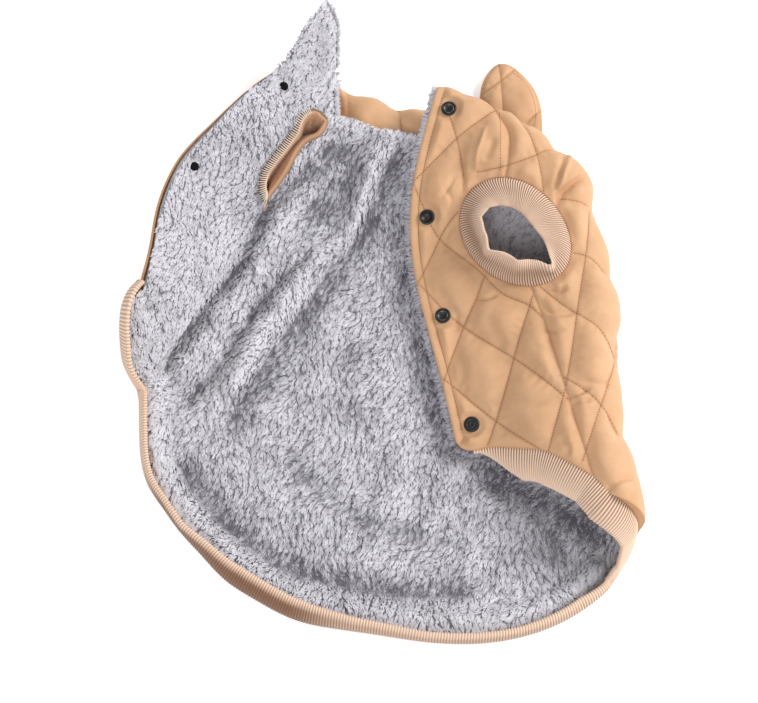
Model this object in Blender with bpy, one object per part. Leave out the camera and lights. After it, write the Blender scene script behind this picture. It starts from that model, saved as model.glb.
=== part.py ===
"""A dog's winter coat, lying on its back with the front open and the lining up.

The cloth is laid out on two charts, both plans seen from above. The lower chart is the back panel and the
left front, the upper chart is the right front and the strip of the back that wraps over to meet it, and a
rolled fold joins the two along the coat's right side. One base surface, the outside of the quilted shell,
runs through all three, and every cloth wall is a layer measured from it.

Sizes are in millimetres until the meshes are made. X runs to the right, Y towards the neck, Z is up.
"""

import math

import bpy
import numpy as np
from mathutils import Matrix, Vector
from mathutils.geometry import delaunay_2d_cdt

for thing in list(bpy.data.objects):
    bpy.data.objects.remove(thing)

# Scale and place
MM = 0.001
CENTRE = np.array((-1.5, 6.0, 0.0))

# Walls
SHELL_WALL = 3.7
LINING_WALL = 7.0
LAYER_GAP = 0.3
SEAM_INSET = 0.25
LINING_SET_BACK = 2.0
CLOTH = SHELL_WALL + LAYER_GAP + LINING_WALL
STACK_AT_EDGE = 2 * CLOTH + 1.2

# Grid of the walls
FINE = 12.5
COARSE = 24.0
ALONG_EDGE = 12.5
ROLL_ROWS = 25
ROLL_STEPS = 6

# Quilting and knit ribs
PUFF = 3.0
PUFF_WIDTH = 8.0
EDGE_PRESSED = 6.0
QUILT_SPACING = 43.0
QUILT_HALF_ANGLE = math.radians(35)
BAND_WIDTH = 26.0
BAND_WALL = 4.5
BAND_JOIN = 0.6
SEAM_CLEAR = 0.4
BAND_TURNED_IN = 17.0
CUFF_WALL = 3.2
LEFT_CUFF_WALL = 2.2
PARTS_PER_EDGE = 4
RIB_RELIEF = 0.55
FRAME_SMOOTHING = 9.0

# The left front rises as a bank from a valley that runs from a kink in the hem up to the neck.
KINK = np.array((-178.0, -56.0))
VALLEY = np.array((0.509, 0.861))
VALLEY_RADIUS = 17.0
# columns: distance up the valley from the kink, slope of the bank in degrees
BANK_SLOPE = np.array(
    [(0, 59), (45, 51), (62, 48), (96, 41), (136, 32), (190, 25), (231, 21), (275, 18), (330, 16)], float
)

# The folded hood lifts the neck.
HOOD_THICKNESS = 24.0
LIFT_START_Y = 45.0
LIFT_RUN = 120.0

# Height of the upper layer over the stack of layers, beside the fold. columns: y, rise
RISE = np.array([(-210, 34), (-60, 34), (40, 33), (112, 21), (160, 4), (190, 3)], float)

# The rolled fold down the right side. columns: outermost x, y, then x, y of the line where the roll starts
ROLL = np.array(
    [
        (107, 157, 91, 161),
        (125, 143, 110, 137),
        (141, 126, 126, 117),
        (157, 112, 140, 104),
        (165, 87, 148, 84),
        (171, 58, 151.5, 57),
        (177.5, 20, 156, 20),
        (181.5, -20, 157, -20),
        (180, -52, 157, -52),
        (181, -97, 158, -97),
        (187, -128, 164, -128),
        (190.5, -155, 167, -155),
        (189, -205, 167, -205),
    ],
    float,
)
ROLL_HEM_LOW = -201.0
ROLL_HEM_MID = -164.0
ROLL_HEM_TOP = -142.0

# Outlines in plan, each run of the edge named for what it is on the coat
FLAP_EDGE = [(47, 181), (37, 144), (28, 105), (25.6, 75), (28, 41), (37, -4), (48, -48), (58.5, -97)]
FLAP_HEM = [(58.5, -97), (62, -102), (70, -105), (82, -103.5), (102, -105.5), (119.5, -108.5), (136, -117)]
FLAP_HEM += [(155, -129.5)]
STRIP_HEM = [(155, -129.5), (167, ROLL_HEM_TOP)]
FLAP_NECK = [(91, 161), (86, 166), (80, 170), (68, 174.5), (57, 180.5), (47, 181)]
SHOULDER_SEAM = [(91, 161), (95, 153), (99.5, 145), (102, 137), (102, 126), (98.3, 100.8)]
SIDE_SEAM = [(115.5, 16.0), (125.5, -16), (138, -65), (155, -129.5)]
BACK_NECK = [(-33, 164), (-23, 162.6), (-9, 158), (1, 154), (16, 152.7), (35, 148.6), (60, 149), (80, 154)]
BACK_NECK += [(91, 161)]
BACK_HEM = [(-181.5, -52.5), (-178.5, -60), (-177.3, -68), (-176.8, -78), (-176, -93), (-173.3, -112)]
BACK_HEM += [(-168.3, -126.5), (-158, -141.5), (-143, -161), (-128, -177), (-108.5, -196.5), (-91, -207.5)]
BACK_HEM += [(-57.5, -224), (-31, -229.5), (-1, -233.5), (41, -239), (89, -238), (131, -226), (149, -216)]
BACK_HEM += [(167, ROLL_HEM_LOW)]
LEFT_SEAM = [(-181.5, -52.5), (-142, 6), (-107, 62), (-88, 99)]
LEFT_SHOULDER = [(-39, 157.5), (-33, 164)]
LEFT_NECK = [(-33, 164), (-33.5, 185), (-34, 210), (-33.5, 235), (-35.5, 247), (-42, 259)]
LEFT_EDGE = [(-42, 259), (-54, 242), (-63, 226), (-70, 212), (-80, 200), (-95, 187), (-108, 173.5)]
LEFT_EDGE += [(-131, 146.5), (-152, 121), (-164, 98), (-171, 75), (-174.8, 51), (-178.5, 33), (-182, 18.5)]
LEFT_HEM = [(-182, 17.5), (-186.5, 11.5), (-190, 3.5), (-192, -8), (-192.3, -21.5), (-191.3, -33)]
LEFT_HEM += [(-187, -43), (-181.5, -52.5)]

# Leg holes
RIGHT_HOLE_CENTRE = np.array((104.9, 59.6))
RIGHT_HOLE_RADII = (35.0, 48.8)
RIGHT_HOLE_TILT = math.radians(40)
RIGHT_HOLE_SHOULDER = math.radians(50)
RIGHT_HOLE_SIDE = math.radians(-125)
SLIT_BACK_SIDE = [(-88, 99), (-81.5, 106), (-68, 125), (-61, 137), (-54, 143), (-46.5, 146), (-39, 157.5)]
SLIT_FRONT_SIDE = [(-88, 99), (-94, 106), (-95, 115), (-86, 132), (-68, 155), (-58, 166.5), (-48, 166.5)]
SLIT_FRONT_SIDE += [(-39, 157.5)]

# Quilt lines on the upper side. The rising family runs up to the right, the falling one down to the right.
RISING_LINES = [
    [(16, 95), (32, 109), (61, 136), (99, 163)],
    [(31, 25), (37, 37), (48, 60), (60, 78), (70, 86)],
    [(48, -60), (66, -10), (75, 10), (82, 28)],
    [(80, -108), (96, -60), (102, -38), (118, 12)],
    [(124, -112), (129, -94), (138, -62), (148, -8), (154, 24), (160, 58), (162, 76)],
    [(148, -118), (163, -77), (175, -46), (181, -20)],
    [(77, 109), (102, 112), (120, 118), (134, 126)],
]
FALLING_LINES = [
    [(55, 160), (62, 136), (67, 106)],
    [(22, 120), (28, 105), (35, 89), (48, 62), (62, 48), (82, 28), (97, 11), (114, 1), (124, -11)],
    [(22, 34), (32, 26), (46, 10), (67, -11), (102, -38), (141, -74)],
    [(36, -38), (51, -50), (86, -82), (122, -110)],
    [(122, 15), (135, 2), (148, -8), (164, -19), (176, -40)],
    [(134, -54), (163, -77), (176, -97)],
    [(110, 155), (120, 130), (127, 88)],
    [(139, 84), (160, 80)],
    [(144, 40), (158, 37), (171, 26)],
]

# Folds that show in the lining. columns: height, width, then the crest line
LINING_FOLDS = [
    (-3.2, 8, [(-100, 66), (-126, 30), (-150, -13)]),
    (4.0, 9, [(-79, 33), (-106, 20), (-126, -4), (-146, -34)]),
    (-3.2, 8, [(-58, 56), (-86, 16), (-116, -30), (-140, -76)]),
    (4.0, 9, [(-29, 57), (-51, 20), (-73, -18), (-120, -70)]),
    (-3.2, 8, [(14, 126), (-13, 69), (-41, 28), (-76, -24), (-104, -63)]),
    (3.6, 8, [(2, 138), (-16, 93), (-26, 68), (-53, 40), (-90, 16)]),
    (-2.6, 9, [(92, -122), (106, -158)]),
]
HEM_RIDGE_HEIGHT = 5.0
HEM_RIDGE_FROM_HEM = 22.0
HEM_RIDGE_WIDTH = 8.0
HEM_ROWS = (11.0, 22.0, 33.0)

# How the hem band turns out of the cloth. columns: run along the hem from the left corner, width, then its
# direction in degrees where it leaves the seam and at its folded edge: 0 goes on outward, 90 turns up to the
# lining side
HEM_TURN = np.array(
    [
        (0, 20, 34, 88),
        (20, 26, 34, 84),
        (55, 26, 38, 84),
        (75, 26, 52, 94),
        (88, 26, 72, 116),
        (102, 26, 80, 124),
        (133, 26, 84, 120),
        (208, 26, 82, 112),
        (263, 26, 80, 158),
        (318, 26, 78, 156),
        (358, 26, 75, 130),
        (408, 26, 72, 118),
        (478, 26, 72, 120),
        (528, 26, 70, 132),
        (556, 26, 62, 115),
        (585, 26, 32, 62),
        (618, 26, 5, 28),
        (668, 26, 0, 34),
        (705, 26, 0, 32),
        (730, 23, 0, 34),
        (745, 18, 0, 40),
        (755, 12, 0, 42),
        (763, 5, 0, 42),
    ],
    float,
)
# The right cuff's folded edge, which stands up at the dog's back and lies flat towards the shoulder.
# columns: degrees round the hole, x, y, height over the cloth
CUFF_RIM = np.array(
    [
        (-155, 84.0, 49.0, 19),
        (-126, 89.5, 41.5, 18),
        (-100, 100.5, 36.5, 17),
        (-76, 112.5, 31.5, 16),
        (-57, 125.0, 27.0, 12),
        (-44, 128.0, 31.0, 11),
        (-19, 125.5, 41.0, 10),
        (13, 121.0, 54.0, 8),
        (40, 114.5, 63.5, 7),
        (67, 108.0, 71.0, 6),
        (99, 98.0, 77.5, 6),
        (130, 86.5, 77.0, 9),
        (152, 81.0, 71.5, 13),
        (180, 82.0, 58.5, 18),
    ],
    float,
)
CUFF_LEAVES_UP = math.radians(70)
# columns: height over the cloth, direction in degrees at the folded edge, 90 straight up
CUFF_EDGE_TILT = np.array([(6, -14), (12, 8), (20, 40)], float)
LEFT_CUFF_SHIFT = np.array((-4.0, 2.0))
LEFT_CUFF_FOOT = 3.0
SEAM_ALLOWANCE_PROUD = 2.5

# Hood and ear, both in plan
HOOD_FRONT = [(-30, 176), (-34, 190), (-33, 198), (-24, 193), (-13, 190), (4, 185.5), (17, 177.5), (24, 178.5)]
HOOD_FRONT += [(36, 178), (60, 176), (78, 179), (88.2, 180.2), (101.3, 169.8), (118.3, 156.3), (128, 151.6)]
HOOD_FRONT += [(128, 140)]
HOOD_BACK = [(128, 140), (122, 112), (92, 84), (40, 76), (-4, 84), (-24, 104), (-27, 130), (-28, 155), (-30, 176)]
HOOD_NOTCHES = [[(-24, 196), (-22, 160)], [(17, 182), (20, 150)], [(58, 180), (58, 150)]]
EAR_OUTLINE = [(84, 192), (86.5, 205), (92.5, 216), (100, 222.5), (108, 222), (118, 214.5), (126.5, 204)]
EAR_OUTLINE += [(132.5, 191), (134.5, 178), (134.5, 163), (131, 150), (118, 156), (101, 169.5), (88, 180)]
EAR_LINES = [[(100, 228), (102, 200), (103, 160)], [(118, 221), (105, 208), (82, 192)], [(140, 186), (122, 168)]]
EAR_THICKNESS = 12.0

# Press studs
STUD_RADIUS = 6.0
CAPS = [(56, 161), (39, 78.5), (50.5, -0.5), (71, -85.5)]
BACKS = [(-44, 229), (-76, 184.5), (-144, 115), (-167, 33)]
STUD_FLAT = 7.5

# Colours
TAN = (0.71, 0.44, 0.22)
PLUSH = (0.56, 0.56, 0.62)
RIB = (0.76, 0.50, 0.33)
BLACK = (0.012, 0.012, 0.014)
STEEL = (0.62, 0.62, 0.60)


# Curves

def spline(knots, values, at):
    """A natural cubic spline through the values, read at the given places."""
    knots = np.asarray(knots, float)
    values = np.asarray(values, float)
    step = np.diff(knots)
    count = len(knots)
    rows = np.eye(count)
    right = np.zeros(values.shape)
    for i in range(1, count - 1):
        rows[i, i - 1:i + 2] = step[i - 1], 2 * (step[i - 1] + step[i]), step[i]
        slope_after = (values[i + 1] - values[i]) / step[i]
        slope_before = (values[i] - values[i - 1]) / step[i - 1]
        right[i] = 6 * (slope_after - slope_before)
    bend = np.linalg.solve(rows, right)
    at = np.clip(np.asarray(at, float), knots[0], knots[-1])
    i = np.clip(np.searchsorted(knots, at) - 1, 0, count - 2)
    before = (knots[i + 1] - at) / step[i]
    span = step[i]
    if values.ndim > 1:
        before = before[..., None]
        span = span[..., None]
    after = 1 - before
    cubic = (before**3 - before) * bend[i] + (after**3 - after) * bend[i + 1]
    return before * values[i] + after * values[i + 1] + cubic * span**2 / 6


def runs(points):
    """Distance along a line of points, from its start to each of them."""
    steps = np.linalg.norm(np.diff(points, axis=0), axis=1)
    return np.concatenate(([0.0], np.cumsum(steps)))


def trace(points, step):
    """The smooth curve through the points, as points about one step apart."""
    points = np.asarray(points, float)
    run = runs(points)
    count = max(1, round(run[-1] / step))
    return spline(run, points, np.linspace(0, run[-1], count + 1))


def ramp(t):
    t = np.clip(t, 0, 1)
    return t * t * (3 - 2 * t)


def distance_to(points, line):
    """Distance in plan from each point to a line of straight runs."""
    points = np.asarray(points, float)
    line = np.asarray(line, float)
    best = np.full(len(points), 1e9)
    for start, end in zip(line[:-1], line[1:]):
        along = end - start
        t = np.clip((points - start) @ along / (along @ along), 0, 1)
        best = np.minimum(best, np.linalg.norm(points - start - t[:, None] * along, axis=1))
    return best


def inside(points, loop):
    """Whether each point lies inside the closed loop."""
    loop = np.asarray(loop, float)
    x, y = points[:, 0], points[:, 1]
    found = np.zeros(len(points), bool)
    for (x0, y0), (x1, y1) in zip(loop, np.roll(loop, -1, axis=0)):
        crosses = (y0 > y) != (y1 > y)
        if y1 != y0:
            found ^= crosses & (x < (x1 - x0) * (y - y0) / (y1 - y0) + x0)
    return found


def unit(vectors):
    return vectors / np.maximum(np.linalg.norm(vectors, axis=-1, keepdims=True), 1e-9)


# Heights of the base surface, the outside of the shell

def bank(x, y):
    """How far the left front has risen from its valley: a round bend, then a straight slope."""
    dx = x - KINK[0]
    dy = y - KINK[1]
    up_valley = dx * VALLEY[0] + dy * VALLEY[1]
    across = np.maximum(dy * VALLEY[0] - dx * VALLEY[1], 0)
    slope = np.radians(spline(BANK_SLOPE[:, 0], BANK_SLOPE[:, 1], up_valley))
    bend = VALLEY_RADIUS * np.sin(slope)
    low = VALLEY_RADIUS - np.sqrt(VALLEY_RADIUS**2 - np.minimum(across, bend) ** 2)
    return low + np.maximum(across - bend, 0) * np.tan(slope)


def under(x, y):
    """Height of the base surface on the lower chart."""
    x = np.asarray(x, float)
    y = np.asarray(y, float)
    lift = HOOD_THICKNESS * ramp((y - LIFT_START_Y) / LIFT_RUN)
    return lift * (1 - 0.55 * ramp((x - 110) / 60)) + bank(x, y)


def over(x, y):
    """Height of the base surface on the upper chart."""
    x = np.asarray(x, float)
    y = np.asarray(y, float)
    edge = np.asarray(FLAP_EDGE, float)[::-1]
    start = spline(edge[:, 1], edge[:, 0], y)
    end = np.interp(y, ROLL[::-1, 3], ROLL[::-1, 2])
    rise = spline(RISE[:, 0], RISE[:, 1], y)
    return under(x, y) + STACK_AT_EDGE + rise * ramp((x - start) / np.maximum(end - start, 20))


def roll_point(down, turn):
    """A point of the rolled fold: down is minus the fold's y, turn runs from -90 under to 90 on top."""
    row = spline(-ROLL[:, 1], ROLL, down)
    start = row[..., 2:]
    plan = start + (row[..., :2] - start) * np.cos(turn)[..., None]
    low = under(start[..., 0], start[..., 1])
    high = over(start[..., 0], start[..., 1])
    height = low + (high - low) * (1 + np.sin(turn)) / 2
    return np.concatenate([plan, height[..., None]], axis=-1)


def roll_grid():
    turn = np.linspace(-math.pi / 2, math.pi / 2, ROLL_STEPS + 1)
    hem_y = np.where(
        turn < 0,
        ROLL_HEM_MID + (ROLL_HEM_MID - ROLL_HEM_LOW) * turn / (math.pi / 2),
        ROLL_HEM_MID + (ROLL_HEM_TOP - ROLL_HEM_MID) * turn / (math.pi / 2),
    )
    first = -ROLL[0, 1]
    share = np.linspace(0, 1, ROLL_ROWS + 1)[:, None]
    down = first + (-hem_y - first)[None, :] * share
    return roll_point(down, np.broadcast_to(turn, down.shape))


def right_hole(start, end):
    """Part of the right leg hole's edge, from one angle to another."""
    count = max(2, round(abs(end - start) * 42 / ALONG_EDGE))
    angle = np.linspace(start, end, count + 1)
    a, b = RIGHT_HOLE_RADII
    x = a * np.cos(angle)
    y = b * np.sin(angle)
    c, s = math.cos(RIGHT_HOLE_TILT), math.sin(RIGHT_HOLE_TILT)
    return RIGHT_HOLE_CENTRE + np.stack([x * c - y * s, x * s + y * c], axis=1)


# Relief

def puff(points, families, width=PUFF_WIDTH):
    """Height of the wadding between quilt lines, as a share: nothing on a line, one between them."""
    share = np.ones(len(points))
    for family in families:
        nearest = np.full(len(points), 1e9)
        for line in family:
            nearest = np.minimum(nearest, distance_to(points, trace(line, 8)))
        share *= 1 - np.exp(-((nearest / width) ** 2))
    return share


def plain_puff(points):
    """The same for the left front, where the quilt lines follow a rule: two families 43 mm apart."""
    share = np.ones(len(points))
    for side in (-1, 1):
        share *= np.abs(np.sin(np.pi * quilt_phase(points, side))) ** 0.7
    return share


def quilt_phase(points, side):
    grain = math.atan2(VALLEY[1], VALLEY[0])
    angle = grain + side * QUILT_HALF_ANGLE
    across = -points[:, 0] * math.sin(angle) + points[:, 1] * math.cos(angle)
    return across / QUILT_SPACING


def near_studs(points, places):
    """One on the flat under a stud, falling to nothing around it."""
    share = np.zeros(len(points))
    for place in places:
        far = np.linalg.norm(points - np.asarray(place, float), axis=1)
        share = np.maximum(share, 1 - ramp((far - STUD_FLAT) / 4))
    return share


# Meshes in plan

def thinned(candidates, taken, apart):
    """The candidates that keep a distance from the taken points and from each other."""
    kept = [np.asarray(p, float) for p in taken]
    start = len(kept)
    for point in candidates:
        if np.min(np.linalg.norm(np.asarray(kept) - point, axis=1)) > apart:
            kept.append(np.asarray(point, float))
    return np.asarray(kept[start:]).reshape(-1, 2)


def lattice(low, high, step):
    rows = []
    pitch = step * math.sqrt(3) / 2
    for j in range(int((high[1] - low[1]) / pitch) + 1):
        for i in range(int((high[0] - low[0]) / step) + 1):
            rows.append((low[0] + (i + 0.5 * (j % 2)) * step, low[1] + j * pitch))
    return np.array(rows)


def fill(loop, features, steps):
    """Triangles over the ground inside a loop: its points, the features' points, then lattices.

    steps is a list of (spacing, test), the finest first, where test says which points a lattice may use.
    """
    loop = np.asarray(loop, float)
    low, high = loop.min(axis=0), loop.max(axis=0)
    taken = list(loop)
    for points, apart in features:
        points = points[inside(points, loop)]
        points = points[distance_to(points, np.vstack([loop, loop[:1]])) > apart * 0.8]
        taken += list(thinned(points, taken, apart))
    for step, test in steps:
        points = lattice(low, high, step)
        points = points[inside(points, loop) & test(points)]
        points = points[distance_to(points, np.vstack([loop, loop[:1]])) > step * 0.55]
        taken += list(thinned(points, taken, step * 0.68))
    rim = [(i, (i + 1) % len(loop)) for i in range(len(loop))]
    found = delaunay_2d_cdt([Vector(p) for p in taken], rim, [], 0, 1e-5, True)
    spots = []
    for place, sources in zip(found[0], found[3]):
        spots.append(taken[sources[0]] if sources else np.array(place))
    spots = np.array(spots)
    faces = np.array([face for face in found[2]])
    faces = faces[inside(spots[faces].mean(axis=1), loop)]
    a, b, c = (spots[faces[:, k]] for k in range(3))
    area = (b[:, 0] - a[:, 0]) * (c[:, 1] - a[:, 1]) - (b[:, 1] - a[:, 1]) * (c[:, 0] - a[:, 0])
    faces = faces[np.abs(area) > 1e-3]
    area = area[np.abs(area) > 1e-3]
    faces[area < 0] = faces[area < 0][:, ::-1]
    return spots, faces


def beside(line, distance):
    """The line moved sideways in plan, to its left."""
    along = unit(np.gradient(line, axis=0))
    return line + distance * np.column_stack([-along[:, 1], along[:, 0]])


def joined(*parts):
    """One closed loop from runs of points, each starting where the last one ended."""
    points = [parts[0]]
    points += [part[1:] for part in parts[1:]]
    return np.vstack(points)[:-1]


class Base:
    """The base surface of the whole coat, with a panel name for each triangle."""

    def __init__(self):
        self.points = []
        self.faces = []
        self.panels = []
        self.plans = []

    def add(self, points, faces, panel, plan):
        start = sum(len(p) for p in self.points)
        self.points.append(points)
        self.plans.append(plan)
        self.faces.append(faces + start)
        self.panels += [panel] * len(faces)

    def weld(self):
        points = np.vstack(self.points)
        plans = np.concatenate(self.plans)
        keys, first, index = np.unique(
            np.round(points / 0.02).astype(int), axis=0, return_index=True, return_inverse=True
        )
        self.points = points[first]
        self.plans = plans[first]
        self.faces = index.reshape(-1)[np.vstack(self.faces)]
        self.panels = np.array(self.panels)
        a, b, c = (self.points[self.faces[:, k]] for k in range(3))
        across = np.cross(b - a, c - a)
        self.normals = np.zeros(self.points.shape)
        for k in range(3):
            np.add.at(self.normals, self.faces[:, k], across)
        self.normals = unit(self.normals)

    def nearest(self, point):
        return int(np.argmin(np.linalg.norm(self.points - point, axis=1)))


def on_chart(plan, height):
    return np.column_stack([plan, height(plan[:, 0], plan[:, 1])])


def everywhere(points):
    return np.ones(len(points), bool)


def shows(points):
    """Where the lower chart isn't covered by the right front."""
    edge = np.asarray(FLAP_EDGE, float)[::-1]
    covered = points[:, 0] > spline(edge[:, 1], edge[:, 0], points[:, 1]) + 12
    return ~(covered & (points[:, 1] > -112))


EDGES = {
    name: trace(line, ALONG_EDGE)
    for name, line in dict(
        flap_edge=FLAP_EDGE,
        flap_hem=FLAP_HEM,
        strip_hem=STRIP_HEM,
        flap_neck=FLAP_NECK,
        shoulder=SHOULDER_SEAM,
        side=SIDE_SEAM,
        back_neck=BACK_NECK,
        back_hem=BACK_HEM,
        left_seam=LEFT_SEAM,
        slit_back=SLIT_BACK_SIDE,
        slit_front=SLIT_FRONT_SIDE,
        left_shoulder=LEFT_SHOULDER,
        left_neck=LEFT_NECK,
        left_edge=LEFT_EDGE,
        left_hem=LEFT_HEM,
    ).items()
}
ROLLED = roll_grid()
EDGES["roll_low"] = ROLLED[:, 0, :2]
EDGES["roll_top"] = ROLLED[:, -1, :2]
EDGES["back_hem"][-1] = EDGES["roll_low"][-1]
EDGES["back_neck"][-1] = EDGES["roll_low"][0]
EDGES["strip_hem"][-1] = EDGES["roll_top"][-1]
EDGES["shoulder"][0] = EDGES["roll_top"][0]
EDGES["flap_neck"][0] = EDGES["roll_top"][0]
EDGES["hole_front"] = right_hole(RIGHT_HOLE_SHOULDER, RIGHT_HOLE_SIDE + 2 * math.pi)
EDGES["hole_back"] = right_hole(RIGHT_HOLE_SIDE, RIGHT_HOLE_SHOULDER)
EDGES["shoulder"][-1] = EDGES["hole_front"][0]
EDGES["hole_back"][-1] = EDGES["hole_front"][0]
EDGES["hole_back"][0] = EDGES["hole_front"][-1]
EDGES["side"][0] = EDGES["hole_front"][-1]


def base_surface():
    base = Base()
    ring = [(7 * math.cos(a), 7 * math.sin(a)) for a in np.linspace(0, 2 * math.pi, 7)[:-1]]
    spots = {name: [np.add(p, r) for p in places for r in [(0, 0)] + ring]
             for name, places in dict(caps=CAPS, backs=BACKS).items()}
    upper_lines = np.vstack([trace(line, 10) for line in RISING_LINES + FALLING_LINES])
    fold_lines = np.vstack([trace(line, 12) for _, _, line in LINING_FOLDS])

    e = EDGES
    left_front = joined(e["left_seam"], e["slit_front"], e["left_shoulder"], e["left_neck"], e["left_edge"],
                        e["left_hem"])
    plan, faces = fill(left_front, [(np.array(spots["backs"]), 4)], [(FINE, everywhere)])
    base.add(on_chart(plan, under), faces, "left", np.zeros(len(plan)))

    back = joined(e["back_hem"], e["roll_low"][::-1], e["back_neck"][::-1], e["left_shoulder"][::-1],
                  e["slit_back"][::-1], e["left_seam"][::-1])
    hem_rows = np.vstack([beside(e["back_hem"], distance) for distance in HEM_ROWS])
    plan, faces = fill(back, [(hem_rows, 6), (fold_lines, 6)], [(FINE, shows), (COARSE, everywhere)])
    base.add(on_chart(plan, under), faces, "back", np.zeros(len(plan)))

    rows, steps = ROLLED.shape[:2]
    faces = []
    for i in range(rows - 1):
        for k in range(steps - 1):
            a = i * steps + k
            faces += [(a, a + steps, a + steps + 1), (a, a + steps + 1, a + 1)]
    base.add(ROLLED.reshape(-1, 3), np.array(faces), "back", np.full(rows * steps, 2))

    strip = joined(e["roll_top"], e["strip_hem"][::-1], e["side"][::-1], e["hole_back"], e["shoulder"][::-1])
    plan, faces = fill(strip, [(upper_lines, 6.5)], [(FINE, everywhere)])
    base.add(on_chart(plan, over), faces[:, ::-1], "back", np.ones(len(plan)))

    front = joined(e["shoulder"], e["hole_front"], e["side"], e["flap_hem"][::-1], e["flap_edge"][::-1],
                   e["flap_neck"][::-1])
    plan, faces = fill(front, [(np.array(spots["caps"]), 4), (upper_lines, 6.5)], [(FINE, everywhere)])
    base.add(on_chart(plan, over), faces[:, ::-1], "right", np.ones(len(plan)))
    base.weld()
    return base


# Layers of the cloth

def shell_relief(base):
    """How far the quilting stands out of the base surface at each point."""
    plan = base.points[:, :2]
    top = puff(plan, [RISING_LINES, FALLING_LINES]) * (1 - near_studs(plan, CAPS))
    for name in ("shoulder", "side", "flap_edge", "flap_hem", "strip_hem", "flap_neck", "hole_front",
                 "hole_back"):
        top = top * (1 - np.exp(-((distance_to(plan, EDGES[name]) / EDGE_PRESSED) ** 2)))
    left = plain_puff(plan) * ramp((bank(plan[:, 0], plan[:, 1]) - 6) / 10) * (1 - near_studs(plan, BACKS))
    for name in ("left_edge", "left_neck", "left_hem", "slit_front"):
        left = left * (1 - np.exp(-((distance_to(plan, EDGES[name]) / EDGE_PRESSED) ** 2)))
    rolled = top * ramp((base.points[:, 2] - 26) / 14)
    return PUFF * np.select([base.plans == 0, base.plans == 1], [left, top], rolled)


def lining_wall(base):
    """Thickness of the plush at each point: its folds, the roll beside the hem, thinner in the tight fold."""
    plan = base.points[:, :2]
    edge = np.asarray(FLAP_EDGE, float)[::-1]
    left_of_flap = spline(edge[:, 1], edge[:, 0], plan[:, 1]) - plan[:, 0]
    clear = np.maximum(ramp((left_of_flap - 4) / 16), ramp((-116 - plan[:, 1]) / 14))
    folds = np.zeros(len(plan))
    for height, width, line in LINING_FOLDS:
        folds += height * np.exp(-((distance_to(plan, trace(line, 8)) / width) ** 2))
    hem = distance_to(plan, EDGES["back_hem"])
    low = base.plans == 0
    ridge = HEM_RIDGE_HEIGHT * np.exp(-(((hem - HEM_RIDGE_FROM_HEM) / HEM_RIDGE_WIDTH) ** 2))
    any_hem = hem
    for name in ("left_hem", "strip_hem", "flap_hem"):
        any_hem = np.minimum(any_hem, distance_to(plan, EDGES[name]))
    taper = 2.5 * (1 - ramp(any_hem / 10))
    dimple = 2.4 * near_studs(plan, BACKS)
    pressed = 3.4 * ramp((plan[:, 0] - 78) / 16) * ramp((plan[:, 1] - 92) / 30)
    wall = LINING_WALL + np.where(low, clear * (folds + ridge) - dimple, 0) - taper - pressed
    return np.maximum(wall, 2.6)


def edge_insets(base, set_back):
    """How far each edge point draws back into its panel: a seam gap, and the set-back where an edge is free.

    Ends of the free edges where two panels meet keep the seam gap, so that both walls turn alike there.
    """
    inset = np.full(len(base.points), SEAM_INSET)
    free = [
        (on_chart(EDGES["flap_edge"], over), 1.0),
        (on_chart(EDGES["flap_neck"][2:], over), 1.0),
        (on_chart(EDGES["left_edge"], under), 1.0),
        (on_chart(EDGES["left_neck"][1:], under), 1.0),
        (on_chart(EDGES["back_neck"][1:-4], under), 1.0),
        (on_chart(EDGES["back_hem"][1:], under), 0.7),
        (ROLLED[-1], 0.7),
    ]
    for line, share in free:
        for point in line:
            inset[base.nearest(point)] = max(share * set_back, SEAM_INSET)
    return inset


def material(name, colour, roughness, metallic=0.0):
    made = bpy.data.materials.new(name)
    made.use_nodes = True
    shader = made.node_tree.nodes["Principled BSDF"]
    shader.inputs["Base Color"].default_value = (*colour, 1)
    shader.inputs["Roughness"].default_value = roughness
    shader.inputs["Metallic"].default_value = metallic
    made.diffuse_color = (*colour, 1)
    return made


COAT = bpy.data.objects.new("coat", None)
bpy.context.scene.collection.objects.link(COAT)


def make_object(name, points, faces, finish):
    """An object of its own from points in millimetres, parented to the coat."""
    mesh = bpy.data.meshes.new(name)
    placed = (np.asarray(points) - CENTRE) * MM
    mesh.from_pydata([tuple(p) for p in placed], [], [tuple(map(int, f)) for f in faces])
    mesh.shade_smooth()
    mesh.set_sharp_from_angle(angle=math.radians(50))
    mesh.materials.append(finish)
    made = bpy.data.objects.new(name, mesh)
    made.parent = COAT
    bpy.context.scene.collection.objects.link(made)
    return made


def cloth(name, base, panel, near, far, inset, finish):
    """A wall of cloth over one panel, from depth near to depth far below the base surface."""
    faces = base.faces[base.panels == panel]
    used, index = np.unique(faces, return_inverse=True)
    faces = index.reshape(faces.shape)
    points = base.points[used]
    normals = base.normals[used]
    sides = {}
    for a, b, c in faces:
        for start, end in ((a, b), (b, c), (c, a)):
            if (end, start) in sides:
                del sides[(end, start)]
            else:
                sides[(start, end)] = True
    inward = np.zeros(points.shape)
    for start, end in sides:
        side = unit(np.cross(normals[start], points[end] - points[start]))
        inward[start] += side
        inward[end] += side
    points = points + unit(inward) * inset[used][:, None]
    low = points + normals * near[used][:, None]
    low[:, 2] = np.maximum(low[:, 2], 0)
    high = points + normals * far[used][:, None]
    count = len(used)
    shape = [tuple(face[::-1]) for face in faces]
    shape += [tuple(face + count) for face in faces]
    shape += [(start, end, end + count, start + count) for start, end in sides]
    return make_object(name, np.vstack([low, high]), shape, finish)


# Ribbed bands

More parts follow.
